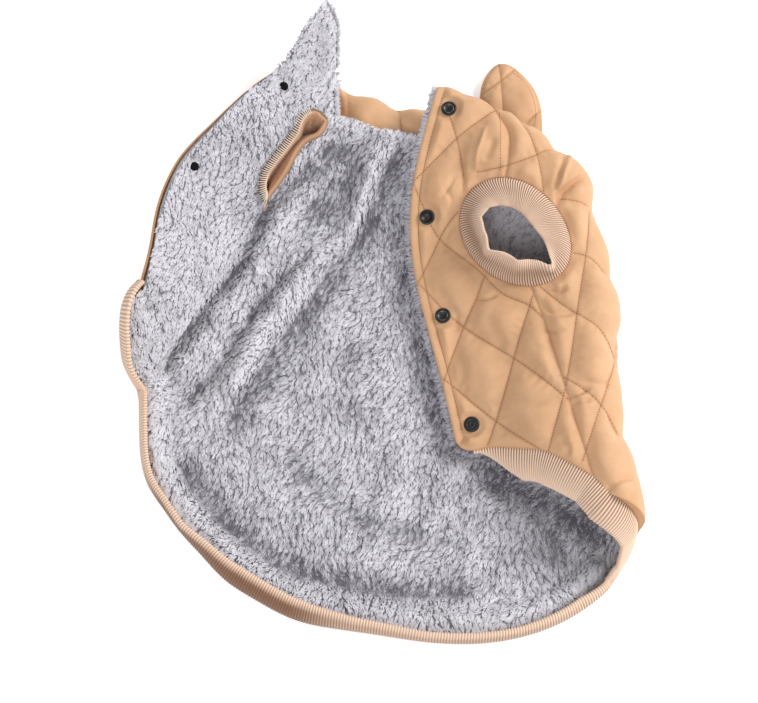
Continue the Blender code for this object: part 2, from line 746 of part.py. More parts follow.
def edge_stations(base, line, parts, closed):
    """Places along an edge of the base surface, each edge run cut into equal parts.

    Gives the run from the start, the points, the outward directions and the lining-side normals. The
    directions are averaged over a short run so that a strip sewn along the edge turns gently.
    """
    ids = [base.nearest(point) for point in line]
    if closed:
        ids = ids + ids[:1]
    run = runs(base.points[ids])
    share = np.arange(0, (len(ids) - 1) * parts + (0 if closed else 1)) / parts
    at = np.interp(share, np.arange(len(ids)), run)
    read = lambda values: np.column_stack([np.interp(at, run, values[:, k]) for k in range(3)])
    points = read(base.points[ids])
    normals = read(base.normals[ids])
    if closed:
        along = np.roll(points, -1, axis=0) - np.roll(points, 1, axis=0)
    else:
        along = np.gradient(points, axis=0)
    apart = np.abs(at[:, None] - at[None, :])
    if closed:
        apart = np.minimum(apart, run[-1] - apart)
    weight = np.exp(-((apart / FRAME_SMOOTHING) ** 2))
    normals = unit(weight @ normals)
    along = unit(weight @ unit(along))
    outward = unit(np.cross(along, normals))
    return at, points, outward, normals


def turned_section(outward, inward, width, start, end, share):
    """A place on a strip that bends evenly from one direction to another, and the way across it there."""
    bend = end - start
    angle = start + bend * share
    out = width / bend * (math.sin(angle) - math.sin(start))
    up = width / bend * (math.cos(start) - math.cos(angle))
    return outward * out + inward * up, outward * math.sin(angle) - inward * math.cos(angle)


def standing_section(seam, rim, leaves, arrives, share):
    """A place on a strip that leaves its seam and reaches its folded edge in given directions, and its run."""
    reach = np.linalg.norm(rim - seam)
    first = seam + leaves * reach * 0.45
    last = rim - arrives * reach * 0.38
    t, u = share, 1 - share
    spot = u**3 * seam + 3 * u * u * t * first + 3 * u * t * t * last + t**3 * rim
    along = u * u * (first - seam) + 2 * u * t * (last - first) + t * t * (rim - last)
    return spot, unit(along)


def ribbed(name, columns, sections, wall, finish, closed):
    """A folded strip of rib knit. sections gives a place and the way across the strip there, by column and
    share of the width.
    """
    outside = np.array((0.0, 0.34, 0.67, 1.0))
    inside_shares = np.array((1.0, 0.5, 0.0))
    points = []
    for j in range(columns):
        for share, side in [(s, 1) for s in outside] + [(s, -1) for s in inside_shares]:
            relief = RIB_RELIEF if j % 2 and share > 0 and side > 0 else 0.0
            spot, across = sections(j, share)
            points.append(spot + across * (wall / 2 + relief) * side)
    section = len(outside) + len(inside_shares)
    faces = []
    for j in range(columns if closed else columns - 1):
        here = j * section
        there = (j + 1) % columns * section
        for k in range(section):
            after = (k + 1) % section
            faces.append((here + k, there + k, there + after, here + after))
    if not closed:
        faces.append(tuple(range(section)))
        last = (columns - 1) * section
        faces.append(tuple(last + k for k in range(section))[::-1])
    return make_object(name, points, faces, finish)


def hem_chain():
    low = lambda name: on_chart(EDGES[name], under)
    top = lambda name: on_chart(EDGES[name], over)
    chain = [low("left_hem"), low("back_hem")[1:], ROLLED[-1, 1:], top("strip_hem")[::-1][1:],
             top("flap_hem")[::-1][1:]]
    return np.vstack(chain), [len(part) for part in chain]


def hem_section(points, outward, inward, turn, j, share):
    width, start, end = turn[j]
    seat = outward[j] * (SEAM_CLEAR + BAND_WALL / 2 * abs(math.sin(start)))
    seat = seat + inward[j] * (SEAM_CLEAR + BAND_WALL / 2)
    spot, across = turned_section(outward[j], inward[j], width, start, end, share)
    return points[j] + seat + spot, across


def hem_bands(base, finish):
    line, lengths = hem_chain()
    at, points, outward, normals = edge_stations(base, line, PARTS_PER_EDGE, False)
    kink = at[(lengths[0] - 1) * PARTS_PER_EDGE]
    side = at[(sum(lengths[:4]) - 1) * PARTS_PER_EDGE]
    turn = np.column_stack([np.interp(at, HEM_TURN[:, 0], HEM_TURN[:, k]) for k in (1, 2, 3)])
    turn[:, 1:] = np.radians(turn[:, 1:])
    for name, start, end in (("left", 0, kink), ("back", kink, side), ("right", side, at[-1] - BAND_TURNED_IN)):
        own = (at > start + 0.1) & (at < end - 0.1)
        near_start = 0.4 if name == "left" else BAND_JOIN / 2
        own_at = np.concatenate([[start + near_start], at[own], [end - BAND_JOIN / 2]])
        read = lambda values: np.column_stack([np.interp(own_at, at, values[:, k]) for k in range(3)])
        band_frame = (read(points), unit(read(outward)), unit(read(normals)), read(turn))
        section = lambda j, share: hem_section(*band_frame, j, share)
        ribbed("hem_band_" + name, len(own_at), section, BAND_WALL, finish, False)


def right_cuff(base, finish):
    line = on_chart(np.vstack([EDGES["hole_front"], EDGES["hole_back"][1:-1]]), over)
    at, points, outward, normals = edge_stations(base, line, PARTS_PER_EDGE, True)
    up = -normals
    around = np.degrees(np.arctan2(*(points[:, :2] - RIGHT_HOLE_CENTRE).T[::-1]))
    x, y, height = (np.interp(around, CUFF_RIM[:, 0], CUFF_RIM[:, k], period=360) for k in (1, 2, 3))
    rim = np.column_stack([x, y, over(x, y) + height])
    tilt = np.radians(np.interp(height, CUFF_EDGE_TILT[:, 0], CUFF_EDGE_TILT[:, 1]))[:, None]
    clear = SEAM_CLEAR + CUFF_WALL / 2
    seam = points + outward * clear - up * clear
    leaves = outward * math.cos(CUFF_LEAVES_UP) + up * math.sin(CUFF_LEAVES_UP)
    level = rim - seam
    level = unit(level - up * np.einsum("ij,ij->i", level, up)[:, None])
    arrives = level * np.cos(tilt) + up * np.sin(tilt)

    def section(j, share):
        spot, along = standing_section(seam[j], rim[j], leaves[j], arrives[j], share)
        side = unit(np.cross(up[j], level[j]))
        return spot, np.cross(along, side)

    ribbed("cuff_right", len(at), section, CUFF_WALL, finish, True)


def left_cuff(base, finish):
    """The left cuff hangs out through the slit and lies flattened under the bank."""
    line = on_chart(np.vstack([EDGES["slit_front"], EDGES["slit_back"][::-1][1:-1]]), under)
    at, points, out, up = edge_stations(base, line, 2, True)
    middle = points[:, :2].mean(axis=0)
    if np.mean(np.einsum("ij,ij->i", out[:, :2], middle - points[:, :2])) < 0:
        out = -out
    rim = CLOTH + SEAM_ALLOWANCE_PROUD
    shape = []
    for j in range(len(at)):
        relief = 0.4 if j % 2 else 0.0
        seat = points[j] + out[j] * 0.6
        bend = seat - up[j] * 2.2
        foot = np.array((*(points[j, :2] + LEFT_CUFF_SHIFT), LEFT_CUFF_FOOT + 0.12 * points[j, 2]))
        foot = foot + out[j] * 0.6
        shape += [seat + up[j] * rim, bend, foot - np.array((0, 0, relief))]
        shape += [foot + out[j] * LEFT_CUFF_WALL, bend + out[j] * LEFT_CUFF_WALL + up[j] * 1.2]
        shape += [seat + out[j] * LEFT_CUFF_WALL + up[j] * rim]
    section = 6
    faces = []
    for j in range(len(at)):
        here, there = j * section, (j + 1) % len(at) * section
        for k in range(section):
            after = (k + 1) % section
            faces.append((here + k, there + k, there + after, here + after))
    return make_object("cuff_left", shape, faces, finish)


# Padded pieces

def pad(name, outline, lines, top, rim_top, features, step, foot_inset, finish):
    """A padded piece that rests flat: a top over its outline, a rounded side and a flat foot."""
    plan, faces = fill(outline, features, [(step, everywhere)])
    loop = np.asarray(outline, float)
    closed = np.vstack([loop, loop[:1]])
    share = puff(plan, [lines], 6.0)
    high = np.column_stack([plan, top(plan, distance_to(plan, closed), share)])
    rim = len(loop)
    high[:rim, 2] = rim_top(loop)
    along = unit(np.roll(loop, -1, axis=0) - np.roll(loop, 1, axis=0))
    inward = np.column_stack([-along[:, 1], along[:, 0]])
    area = np.sum(loop[:, 0] * np.roll(loop[:, 1], -1) - np.roll(loop[:, 0], -1) * loop[:, 1])
    foot = loop + (inward if area > 0 else -inward) * foot_inset
    low = np.column_stack([foot, np.zeros(rim)])
    count = len(high)
    shape = [tuple(face) for face in faces]
    order = range(rim) if area > 0 else range(rim)[::-1]
    order = list(order)
    for here, there in zip(order, order[1:] + order[:1]):
        shape.append((here, count + here, count + there, there))
    shape.append(tuple(count + k for k in order[::-1]))
    return make_object(name, np.vstack([high, low]), shape, finish)


def hood_rim(loop):
    return np.minimum(11, under(loop[:, 0], loop[:, 1]) - 2.2)


def ear_rim(loop):
    return np.full(len(loop), 5.0)


def hood_top(plan, from_rim, share):
    cap = 10 + 13 * np.sqrt(np.maximum(1 - (1 - np.clip(from_rim / 14, 0, 1)) ** 2, 0))
    behind = ramp((plan[:, 1] - np.interp(plan[:, 0], [p[0] for p in BACK_NECK], [p[1] for p in BACK_NECK])) / 8)
    ceiling = under(plan[:, 0], plan[:, 1]) - 1.2
    return np.minimum(cap - behind * 4 * (1 - share), ceiling)


def ear_top(plan, from_rim, share):
    cap = 5 + (EAR_THICKNESS - 5) * np.sqrt(np.maximum(1 - (1 - np.clip(from_rim / 16, 0, 1)) ** 2, 0))
    return cap - 3.0 * (1 - share) * np.clip(from_rim / 6, 0, 1)


# Press studs

def turned(name, profile, sides=12):
    """A turned mesh from (radius, height) rows, bottom to top, closed at both ends."""
    points = []
    faces = []
    for radius, height in profile:
        for k in range(sides):
            angle = 2 * math.pi * k / sides
            points.append((radius * math.cos(angle), radius * math.sin(angle), height))
    for i in range(len(profile) - 1):
        for k in range(sides):
            a, b = i * sides + k, i * sides + (k + 1) % sides
            faces.append((a, b, b + sides, a + sides))
    faces.append(tuple(range(sides))[::-1])
    faces.append(tuple((len(profile) - 1) * sides + k for k in range(sides)))
    mesh = bpy.data.meshes.new(name)
    mesh.from_pydata([tuple(np.array(p) * MM) for p in points], [], faces)
    mesh.shade_smooth()
    mesh.set_sharp_from_angle(angle=math.radians(40))
    return mesh


def ring_mesh(name, inner, outer, low, high, sides=12):
    mesh = bpy.data.meshes.new(name)
    points = []
    faces = []
    for radius, height in ((inner, low), (outer, low), (outer, high), (inner, high)):
        for k in range(sides):
            angle = 2 * math.pi * k / sides
            points.append((radius * math.cos(angle), radius * math.sin(angle), height))
    for i in range(4):
        for k in range(sides):
            a, b = i * sides + k, i * sides + (k + 1) % sides
            c, d = (i + 1) % 4 * sides + (k + 1) % sides, (i + 1) % 4 * sides + k
            faces.append((a, b, c, d))
    mesh.from_pydata([tuple(np.array(p) * MM) for p in points], [], faces)
    return mesh


def place(name, mesh, point, axis, finish):
    """An object of the mesh, standing on a point of the cloth along an axis."""
    turn = Vector((0, 0, 1)).rotation_difference(Vector(axis)).to_matrix().to_4x4()
    made = bpy.data.objects.new(name, mesh)
    if not mesh.materials:
        mesh.materials.append(finish)
    made.parent = COAT
    made.matrix_local = Matrix.Translation(Vector((np.asarray(point) - CENTRE) * MM)) @ turn
    bpy.context.scene.collection.objects.link(made)
    return made


def studs(base, relief, wall, black, steel):
    cap = turned("stud_cap", [(5.4, 0), (STUD_RADIUS, 0.5), (STUD_RADIUS - 0.4, 1.3), (4.7, 1.7), (4.4, 0.9)])
    ring = ring_mesh("stud_ring", 2.7, 3.9, 1.25, 1.9)
    back = turned("stud_back", [(4.2, 0), (4.5, 0.7), (3.4, 1.5)], 10)
    post = turned("stud_post", [(5.4, 0), (5.4, 1.0), (2.6, 1.3), (2.9, 3.2), (2.2, 3.6)], 10)
    for number, spot in enumerate(CAPS, 1):
        at = base.nearest((*spot, over(*spot)))
        axis = -base.normals[at]
        place(f"stud_cap_{number}", cap, base.points[at] + axis * (relief[at] + 0.6), axis, black)
        if number % 2:
            place(f"stud_ring_{number}", ring, base.points[at] + axis * (relief[at] + 0.6), axis, steel)
    for number, spot in enumerate(BACKS, 1):
        at = base.nearest((*spot, under(*spot)))
        axis = base.normals[at]
        depth = SHELL_WALL + LAYER_GAP + wall[at] + 0.9
        place(f"stud_back_{number}", back, base.points[at] + axis * depth, axis, black)
        place(f"stud_post_{number}", post, base.points[at] - axis * (relief[at] + 0.6), -axis, black)


def build():
    tan = material("quilted_shell", TAN, 0.72)
    plush = material("sherpa_plush", PLUSH, 0.95)
    rib = material("rib_knit", RIB, 0.85)
    black = material("black_plastic", BLACK, 0.35)
    steel = material("ring_metal", STEEL, 0.3, 1.0)
    base = base_surface()
    relief = shell_relief(base)
    wall = lining_wall(base)
    shell_far = np.full(len(base.points), SHELL_WALL)
    lining_near = np.full(len(base.points), SHELL_WALL + LAYER_GAP)
    shell_inset = edge_insets(base, 0.0)
    lining_inset = edge_insets(base, LINING_SET_BACK)
    for panel, name in (("back", "back"), ("right", "front_right"), ("left", "front_left")):
        cloth(name + "_shell", base, panel, -relief, shell_far, shell_inset, tan)
        cloth(name + "_lining", base, panel, lining_near, lining_near + wall, lining_inset, plush)
    hem_bands(base, rib)
    right_cuff(base, rib)
    left_cuff(base, rib)
    hood_loop = joined(trace(HOOD_FRONT, 10), trace(HOOD_BACK, 16))[::-1]
    neck_line = trace(BACK_NECK, 10)
    beside_neck = np.vstack([neck_line + (0, 3), neck_line + (0, 12)])
    pad("hood", hood_loop, HOOD_NOTCHES, hood_top, hood_rim, [(beside_neck, 5)], 15, 5, tan)
    ear_loop = trace(EAR_OUTLINE + EAR_OUTLINE[:1], 8)[:-1]
    ear_lines = np.vstack([trace(line, 7) for line in EAR_LINES])
    pad("ear_right", ear_loop, EAR_LINES, ear_top, ear_rim, [(ear_lines, 4.5)], 9, 3, tan)
    studs(base, relief, wall, black, steel)


build()
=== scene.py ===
"""Looks of a dog's winter coat that lies open on its back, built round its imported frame."""

# %% [markdown]
# The coat is sewn from a quilted shell, a sherpa lining and ribbed knit bands. Each cell below builds one of
# them. The frame is loaded first, so that every piece is placed in the same space as the solids it stands for.

# %% Load the frame
import math

import bpy
import numpy as np
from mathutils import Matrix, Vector
from mathutils.bvhtree import BVHTree
from mathutils.geometry import delaunay_2d_cdt
from mathutils.kdtree import KDTree


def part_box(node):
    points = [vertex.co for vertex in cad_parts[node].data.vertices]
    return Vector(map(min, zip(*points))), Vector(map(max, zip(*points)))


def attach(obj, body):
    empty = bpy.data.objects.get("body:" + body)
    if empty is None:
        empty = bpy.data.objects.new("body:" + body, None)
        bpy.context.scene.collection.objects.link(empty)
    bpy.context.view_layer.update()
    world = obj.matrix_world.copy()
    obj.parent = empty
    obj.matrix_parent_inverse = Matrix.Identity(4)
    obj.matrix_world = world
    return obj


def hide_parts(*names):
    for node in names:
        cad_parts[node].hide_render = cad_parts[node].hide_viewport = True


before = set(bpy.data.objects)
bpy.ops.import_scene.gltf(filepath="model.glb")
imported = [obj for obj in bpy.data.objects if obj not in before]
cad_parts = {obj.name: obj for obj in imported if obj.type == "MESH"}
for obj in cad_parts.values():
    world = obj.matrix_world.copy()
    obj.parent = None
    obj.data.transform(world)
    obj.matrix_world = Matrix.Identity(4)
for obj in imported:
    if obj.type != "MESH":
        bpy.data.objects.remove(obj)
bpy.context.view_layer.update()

MM = 0.001
CENTRE = np.array((-1.5, 6.0, 0.0))
SHELL_WALL = 3.7
LINING_WALL = 7.0
LAYER_GAP = 0.3
PILE = 2.6
rng = np.random.default_rng(7)

# %% [markdown]
# The camera looks down at the coat from 75 degrees, a metre away, as the photograph does. The floor is white
# and glows faintly, so that the shadows on it stay pale. The key light stands low on the right and gives the
# quilting its shading, a weaker light shines from the front, and a pale sky fills the shadows.

# %% Camera, floor and light
FLOOR_HALF, FLOOR_Z = 6, -0.0006
camera_data = bpy.data.cameras.new("camera")
camera_data.sensor_width = 36.0
camera_data.lens = 36 * 1282 / 758
camera_data.clip_end = 20
camera = bpy.data.objects.new("camera", camera_data)
camera.location = (0.0030, -0.2868, 0.9659)
aim = Vector((0.0030, -0.0280, 0.0)) - camera.location
camera.rotation_mode = "QUATERNION"
camera.rotation_quaternion = aim.to_track_quat("-Z", "Y")
bpy.context.scene.collection.objects.link(camera)
bpy.context.scene.camera = camera


def add_node(tree, kind, inputs=None, **settings):
    """One shader node with its settings and the values or links of its inputs."""
    node = tree.nodes.new(kind)
    for key, value in settings.items():
        setattr(node, key, value)
    for key, value in (inputs or {}).items():
        if isinstance(value, bpy.types.NodeSocket):
            tree.links.new(value, node.inputs[key])
        else:
            node.inputs[key].default_value = value
    return node


def set_inputs(node, values):
    for key, value in values.items():
        node.inputs[key].default_value = value


def linear(code):
    """A hex colour as linear red, green, blue and alpha."""
    parts = [int(code[i:i + 2], 16) / 255 for i in (0, 2, 4)]
    parts = [p / 12.92 if p <= 0.04045 else ((p + 0.055) / 1.055) ** 2.4 for p in parts]
    return (*parts, 1.0)


def new_material(name):
    made = bpy.data.materials.new(name)
    made.use_nodes = True
    made.node_tree.nodes.clear()
    tree = made.node_tree
    shader = add_node(tree, "ShaderNodeBsdfPrincipled")
    output = add_node(tree, "ShaderNodeOutputMaterial", {"Surface": shader.outputs[0]})
    output.location = (300, 0)
    return made, tree, shader


floor_finish, tree, shader = new_material("pale_floor")
set_inputs(shader, {"Base Color": linear("FFFFFF"), "Roughness": 0.9, "Emission Color": linear("FFFFFF"),
                    "Emission Strength": 0.3})
floor_mesh = bpy.data.meshes.new("floor")
corners = [(x * FLOOR_HALF, y * FLOOR_HALF, FLOOR_Z) for x, y in ((-1, -1), (1, -1), (1, 1), (-1, 1))]
floor_mesh.from_pydata(corners, [], [(0, 1, 2, 3)])
floor_mesh.materials.append(floor_finish)
floor = bpy.data.objects.new("floor", floor_mesh)
bpy.context.scene.collection.objects.link(floor)


def area_light(name, place, target, size, power, colour):
    data = bpy.data.lights.new(name, "AREA")
    data.shape = "DISK"
    data.size = size
    data.energy = power
    data.color = colour
    lamp = bpy.data.objects.new(name, data)
    lamp.location = place
    lamp.rotation_mode = "QUATERNION"
    lamp.rotation_quaternion = (Vector(target) - Vector(place)).to_track_quat("-Z", "Y")
    bpy.context.scene.collection.objects.link(lamp)
    return lamp


area_light("key", (3.0, 1.1, 2.2), (0, 0, 0), 1.7, 124.0, (1.0, 0.988, 0.972))
area_light("front", (-0.5, -1.9, 2.7), (0, 0, 0), 1.6, 47.0, (1.0, 0.99, 0.98))
world = bpy.data.worlds.new("sky")
world.use_nodes = True
bpy.context.scene.world = world
set_inputs(world.node_tree.nodes["Background"], {"Color": (0.97, 0.98, 1.0, 1.0), "Strength": 0.52})
bpy.context.scene.view_settings.view_transform = "Standard"
print("camera lens", round(camera_data.lens, 2), "mm")

# %% [markdown]
# The cloth is described by one base surface, the outside of the shell. It is laid out on two plans: the back
# with the left front, and the right front that lies over it, with a rolled fold between them. The tables below
# are in millimetres, with X to the right and Y towards the neck.

# %% Tables of the cut and the folds
KINK = np.array((-178.0, -56.0))
VALLEY = np.array((0.509, 0.861))
VALLEY_RADIUS = 17.0
# columns: distance up the valley from the kink, slope of the bank in degrees
BANK_SLOPE = np.array(
    [(0, 59), (45, 51), (62, 48), (96, 41), (136, 32), (190, 25), (231, 21), (275, 18), (330, 16)], float
)
HOOD_THICKNESS = 24.0
LIFT_START_Y = 45.0
LIFT_RUN = 120.0
STACK_AT_EDGE = 23.2
# columns: y, rise of the upper layer beside the fold
RISE = np.array([(-210, 34), (-60, 34), (40, 33), (112, 21), (160, 4), (190, 3)], float)
# columns: outermost x, y of the fold, then x, y of the line where it starts
ROLL = np.array(
    [
        (107, 157, 91, 161), (125, 143, 110, 137), (141, 126, 126, 117), (157, 112, 140, 104),
        (165, 87, 148, 84), (171, 58, 151.5, 57), (177.5, 20, 156, 20), (181.5, -20, 157, -20),
        (180, -52, 157, -52), (181, -97, 158, -97), (187, -128, 164, -128), (190.5, -155, 167, -155),
        (189, -205, 167, -205),
    ],
    float,
)
ROLL_HEM_LOW, ROLL_HEM_MID, ROLL_HEM_TOP = -201.0, -164.0, -142.0

FLAP_EDGE = [(47, 181), (37, 144), (28, 105), (25.6, 75), (28, 41), (37, -4), (48, -48), (58.5, -97)]
FLAP_HEM = [(58.5, -97), (62, -102), (70, -105), (82, -103.5), (102, -105.5), (119.5, -108.5), (136, -117)]
FLAP_HEM += [(155, -129.5)]
STRIP_HEM = [(155, -129.5), (167, ROLL_HEM_TOP)]
FLAP_NECK = [(91, 161), (86, 166), (80, 170), (68, 174.5), (57, 180.5), (47, 181)]
SHOULDER_SEAM = [(91, 161), (95, 153), (99.5, 145), (102, 137), (102, 126), (98.3, 100.8)]
SIDE_SEAM = [(115.5, 16.0), (125.5, -16), (138, -65), (155, -129.5)]
BACK_NECK = [(-33, 164), (-23, 162.6), (-9, 158), (1, 154), (16, 152.7), (35, 148.6), (60, 149), (80, 154)]
BACK_NECK += [(91, 161)]
BACK_HEM = [(-181.5, -52.5), (-178.5, -60), (-177.3, -68), (-176.8, -78), (-176, -93), (-173.3, -112)]
BACK_HEM += [(-168.3, -126.5), (-158, -141.5), (-143, -161), (-128, -177), (-108.5, -196.5), (-91, -207.5)]
BACK_HEM += [(-57.5, -224), (-31, -229.5), (-1, -233.5), (41, -239), (89, -238), (131, -226), (149, -216)]
BACK_HEM += [(167, ROLL_HEM_LOW)]
LEFT_SEAM = [(-181.5, -52.5), (-142, 6), (-107, 62), (-88, 99)]
LEFT_SHOULDER = [(-39, 157.5), (-33, 164)]
LEFT_NECK = [(-33, 164), (-33.5, 185), (-34, 210), (-33.5, 235), (-35.5, 247), (-42, 259)]
LEFT_EDGE = [(-42, 259), (-54, 242), (-63, 226), (-70, 212), (-80, 200), (-95, 187), (-108, 173.5)]
LEFT_EDGE += [(-131, 146.5), (-152, 121), (-164, 98), (-171, 75), (-174.8, 51), (-178.5, 33), (-182, 18.5)]
LEFT_HEM = [(-182, 17.5), (-186.5, 11.5), (-190, 3.5), (-192, -8), (-192.3, -21.5), (-191.3, -33)]
LEFT_HEM += [(-187, -43), (-181.5, -52.5)]
SLIT_BACK_SIDE = [(-88, 99), (-81.5, 106), (-68, 125), (-61, 137), (-54, 143), (-46.5, 146), (-39, 157.5)]
SLIT_FRONT_SIDE = [(-88, 99), (-94, 106), (-95, 115), (-86, 132), (-68, 155), (-58, 166.5), (-48, 166.5)]
SLIT_FRONT_SIDE += [(-39, 157.5)]
HOLE_CENTRE = np.array((104.9, 59.6))
HOLE_RADII = (35.0, 48.8)
HOLE_TILT = math.radians(40)
HOLE_SHOULDER = math.radians(50)
HOLE_SIDE = math.radians(-125)

# Quilt lines of the right front and the fold: one family rises to the right, the other falls
RISING_LINES = [
    [(16, 95), (32, 109), (61, 136), (99, 163)],
    [(31, 25), (37, 37), (48, 60), (60, 78), (70, 86)],
    [(48, -60), (66, -10), (75, 10), (82, 28)],
    [(80, -108), (96, -60), (102, -38), (118, 12)],
    [(124, -112), (129, -94), (138, -62), (148, -8), (154, 24), (160, 58), (162, 76)],
    [(148, -118), (163, -77), (175, -46), (181, -20)],
    [(77, 109), (102, 112), (120, 118), (134, 126)],
]
FALLING_LINES = [
    [(55, 160), (62, 136), (67, 106)],
    [(22, 120), (28, 105), (35, 89), (48, 62), (62, 48), (82, 28), (97, 11), (114, 1), (124, -11)],
    [(22, 34), (32, 26), (46, 10), (67, -11), (102, -38), (141, -74)],
    [(36, -38), (51, -50), (86, -82), (122, -110)],
    [(122, 15), (135, 2), (148, -8), (164, -19), (176, -40)],
    [(134, -54), (163, -77), (176, -97)],
    [(110, 155), (120, 130), (127, 88)],
    [(139, 84), (160, 80)],
    [(144, 40), (158, 37), (171, 26)],
]
# Creases of the shell
# columns: height, width on the right of the line as it runs, width on its left, the line
SHELL_CREASES = [
    (-4.4, 2.0, 5.5, [(157, 104), (150, 97.7), (143.7, 92), (138, 87.4), (136, 78.3)]),
    (-2.4, 3.5, 1.5, [(142.8, 118.8), (139.8, 105.4), (135.7, 90)]),
    (1.5, 2.0, 2.0, [(145.6, 117.5), (142.5, 105), (138.8, 91.4)]),
    (1.9, 2.4, 1.6, [(84, 141), (81.2, 130), (77.6, 118.7), (76.3, 110)]),
    (-2.2, 4.5, 4.5, [(90, 131), (86.3, 122), (83.7, 117)]),
    (-1.5, 1.6, 4.0, [(65.5, 126), (67.2, 107), (66.7, 94)]),
    (1.0, 3.0, 3.0, [(71.7, 125), (69.4, 112), (70, 95)]),
    (-1.3, 1.8, 3.5, [(53.4, 98.5), (58, 89), (55.7, 78)]),
    (-1.3, 3.0, 1.6, [(60.3, 106.8), (55.7, 98.3), (51, 92.7)]),
    (-1.2, 2.0, 3.5, [(60, 72), (53, 60), (52, 50)]),
    (-2.4, 1.5, 3.6, [(75.2, 10.6), (82.6, 9), (90, 11.2)]),
    (-1.5, 5.5, 5.5, [(84.5, -6), (89.4, -15.8), (94.3, -28)]),
    (-3.0, 2.5, 3.5, [(140.4, 12.7), (136, 9.8), (131, 12.6)]),
    (-1.9, 1.8, 4.5, [(121.4, 3.4), (127, -4), (132.5, -8.5), (146, -7.8)]),
    (-1.5, 2.5, 2.5, [(137.8, -21), (129.3, -20.4), (125, -17.7)]),
    (-2.2, 1.6, 3.5, [(138, -71.5), (147.4, -69), (154.7, -65.5)]),
    (-1.5, 1.5, 2.6, [(141.5, -76), (146, -74.8), (154.3, -74.2)]),
    (-1.2, 4.0, 5.5, [(100, -70), (119.4, -73.6), (128, -70.7)]),
    (-1.9, 4.5, 2.0, [(135.8, -101.5), (139, -108.3), (138, -114)]),
    (-2.6, 1.8, 5.0, [(165.7, -140), (170.3, -134.3), (179, -131.4)]),
    (-1.5, 3.0, 3.0, [(152, -60), (163, -62), (171, -59)]),
    (-1.3, 3.0, 3.0, [(169, -85), (173, -96), (175, -103)]),
    (-1.2, 6.0, 4.0, [(48, 20), (58, 4), (60, -14)]),
    (-1.0, 5.0, 5.0, [(60, -30), (66, -42), (64, -56)]),
    (-1.0, 5.0, 5.0, [(118, -30), (127, -38), (130, -50)]),
]
# Ridges of the lining, in the same columns
RIDGES = [
    (5.4, 11, 7, [(-61, 103), (-76, 81), (-93, 55), (-110, 27), (-130, -5), (-149, -34)]),
    (7.4, 10, 5.5, [(5, 143), (-6, 116), (-15, 92), (-25, 70), (-50, 48), (-62, 34), (-78, 2), (-88, -17),
                    (-108, -54)]),
    (3.6, 8, 8, [(-60, 36), (-84, 2), (-106, -34), (-126, -62)]),
]
# Hollows of the lining, where the backing sinks and the pile is painted darker, as shade
# columns: share of the full depth, width on the right, width on the left, the line
HOLLOWS = [
    (1.0, 2.5, 11, [(-40, 140), (-58, 124), (-78, 104), (-87, 95), (-102, 62), (-120, 33), (-142, 3),
                    (-160, -26)]),
    (0.95, 2.8, 13, [(14, 133), (4, 111), (-5, 93), (-12, 76), (-19, 64), (-31, 50), (-45, 28), (-58, 11),
                     (-72, -10), (-90, -41), (-110, -71)]),
    (0.75, 4, 5, [(-56, 53), (-69, 40), (-85, 23), (-105, -8), (-125, -38), (-143, -62)]),
    (1.0, 11, 10, [(-25, 136), (-21, 119), (-30, 104), (-42, 91)]),
    (0.85, 13, 10, [(37, 118), (31, 88), (28, 57), (31, 25), (40, -20), (48, -56), (60, -92)]),
    (0.9, 9, 16, [(82, -119), (100, -128), (118, -137), (140, -150), (166, -167)]),
    (0.8, 9, 9, [(122, -140), (134, -160), (138, -176)]),
    (0.35, 7, 12, [(-20, -20), (-28, -46), (-18, -74)]),
    (0.4, 9, 9, [(-60, -110), (-30, -142), (10, -160), (60, -170)]),
    (0.95, 3.5, 12, [(-146, -118), (-132, -136), (-112, -158), (-92, -174), (-66, -189), (-38, -198),
                     (-4, -204), (34, -208), (66, -207)]),
]
CAPS = [(56, 161), (39, 78.5), (50.5, -0.5), (71, -85.5)]
BACKS = [(-44, 229), (-76, 184.5), (-144, 115), (-167, 33)]
print("tables ready:", len(RISING_LINES) + len(FALLING_LINES), "quilt lines")


# %% Curves and distances
def spline(knots, values, at):
    """A natural cubic spline through the values, read at the given places."""
    knots = np.asarray(knots, float)
    values = np.asarray(values, float)
    step = np.diff(knots)
    count = len(knots)
    rows = np.eye(count)
    right = np.zeros(values.shape)
    for i in range(1, count - 1):
        rows[i, i - 1:i + 2] = step[i - 1], 2 * (step[i - 1] + step[i]), step[i]
        right[i] = 6 * ((values[i + 1] - values[i]) / step[i] - (values[i] - values[i - 1]) / step[i - 1])
    bend = np.linalg.solve(rows, right)
    at = np.clip(np.asarray(at, float), knots[0], knots[-1])
    i = np.clip(np.searchsorted(knots, at) - 1, 0, count - 2)
    before = (knots[i + 1] - at) / step[i]
    span = step[i]
    if values.ndim > 1:
        before = before[..., None]
        span = span[..., None]
    after = 1 - before
    cubic = (before**3 - before) * bend[i] + (after**3 - after) * bend[i + 1]
    return before * values[i] + after * values[i + 1] + cubic * span**2 / 6


def runs(points):
    steps = np.linalg.norm(np.diff(points, axis=0), axis=1)
    return np.concatenate(([0.0], np.cumsum(steps)))


def trace(points, step):
    """The smooth curve through the points, as points about one step apart."""
    points = np.asarray(points, float)
    run = runs(points)
    count = max(1, round(run[-1] / step))
    return spline(run, points, np.linspace(0, run[-1], count + 1))


def ramp(t):
    t = np.clip(t, 0, 1)
    return t * t * (3 - 2 * t)


def bell(t):
    """One at nought, falling off smoothly on both sides."""
    return np.exp(-(t**2))


def unit(vectors):
    return vectors / np.maximum(np.linalg.norm(vectors, axis=-1, keepdims=True), 1e-9)


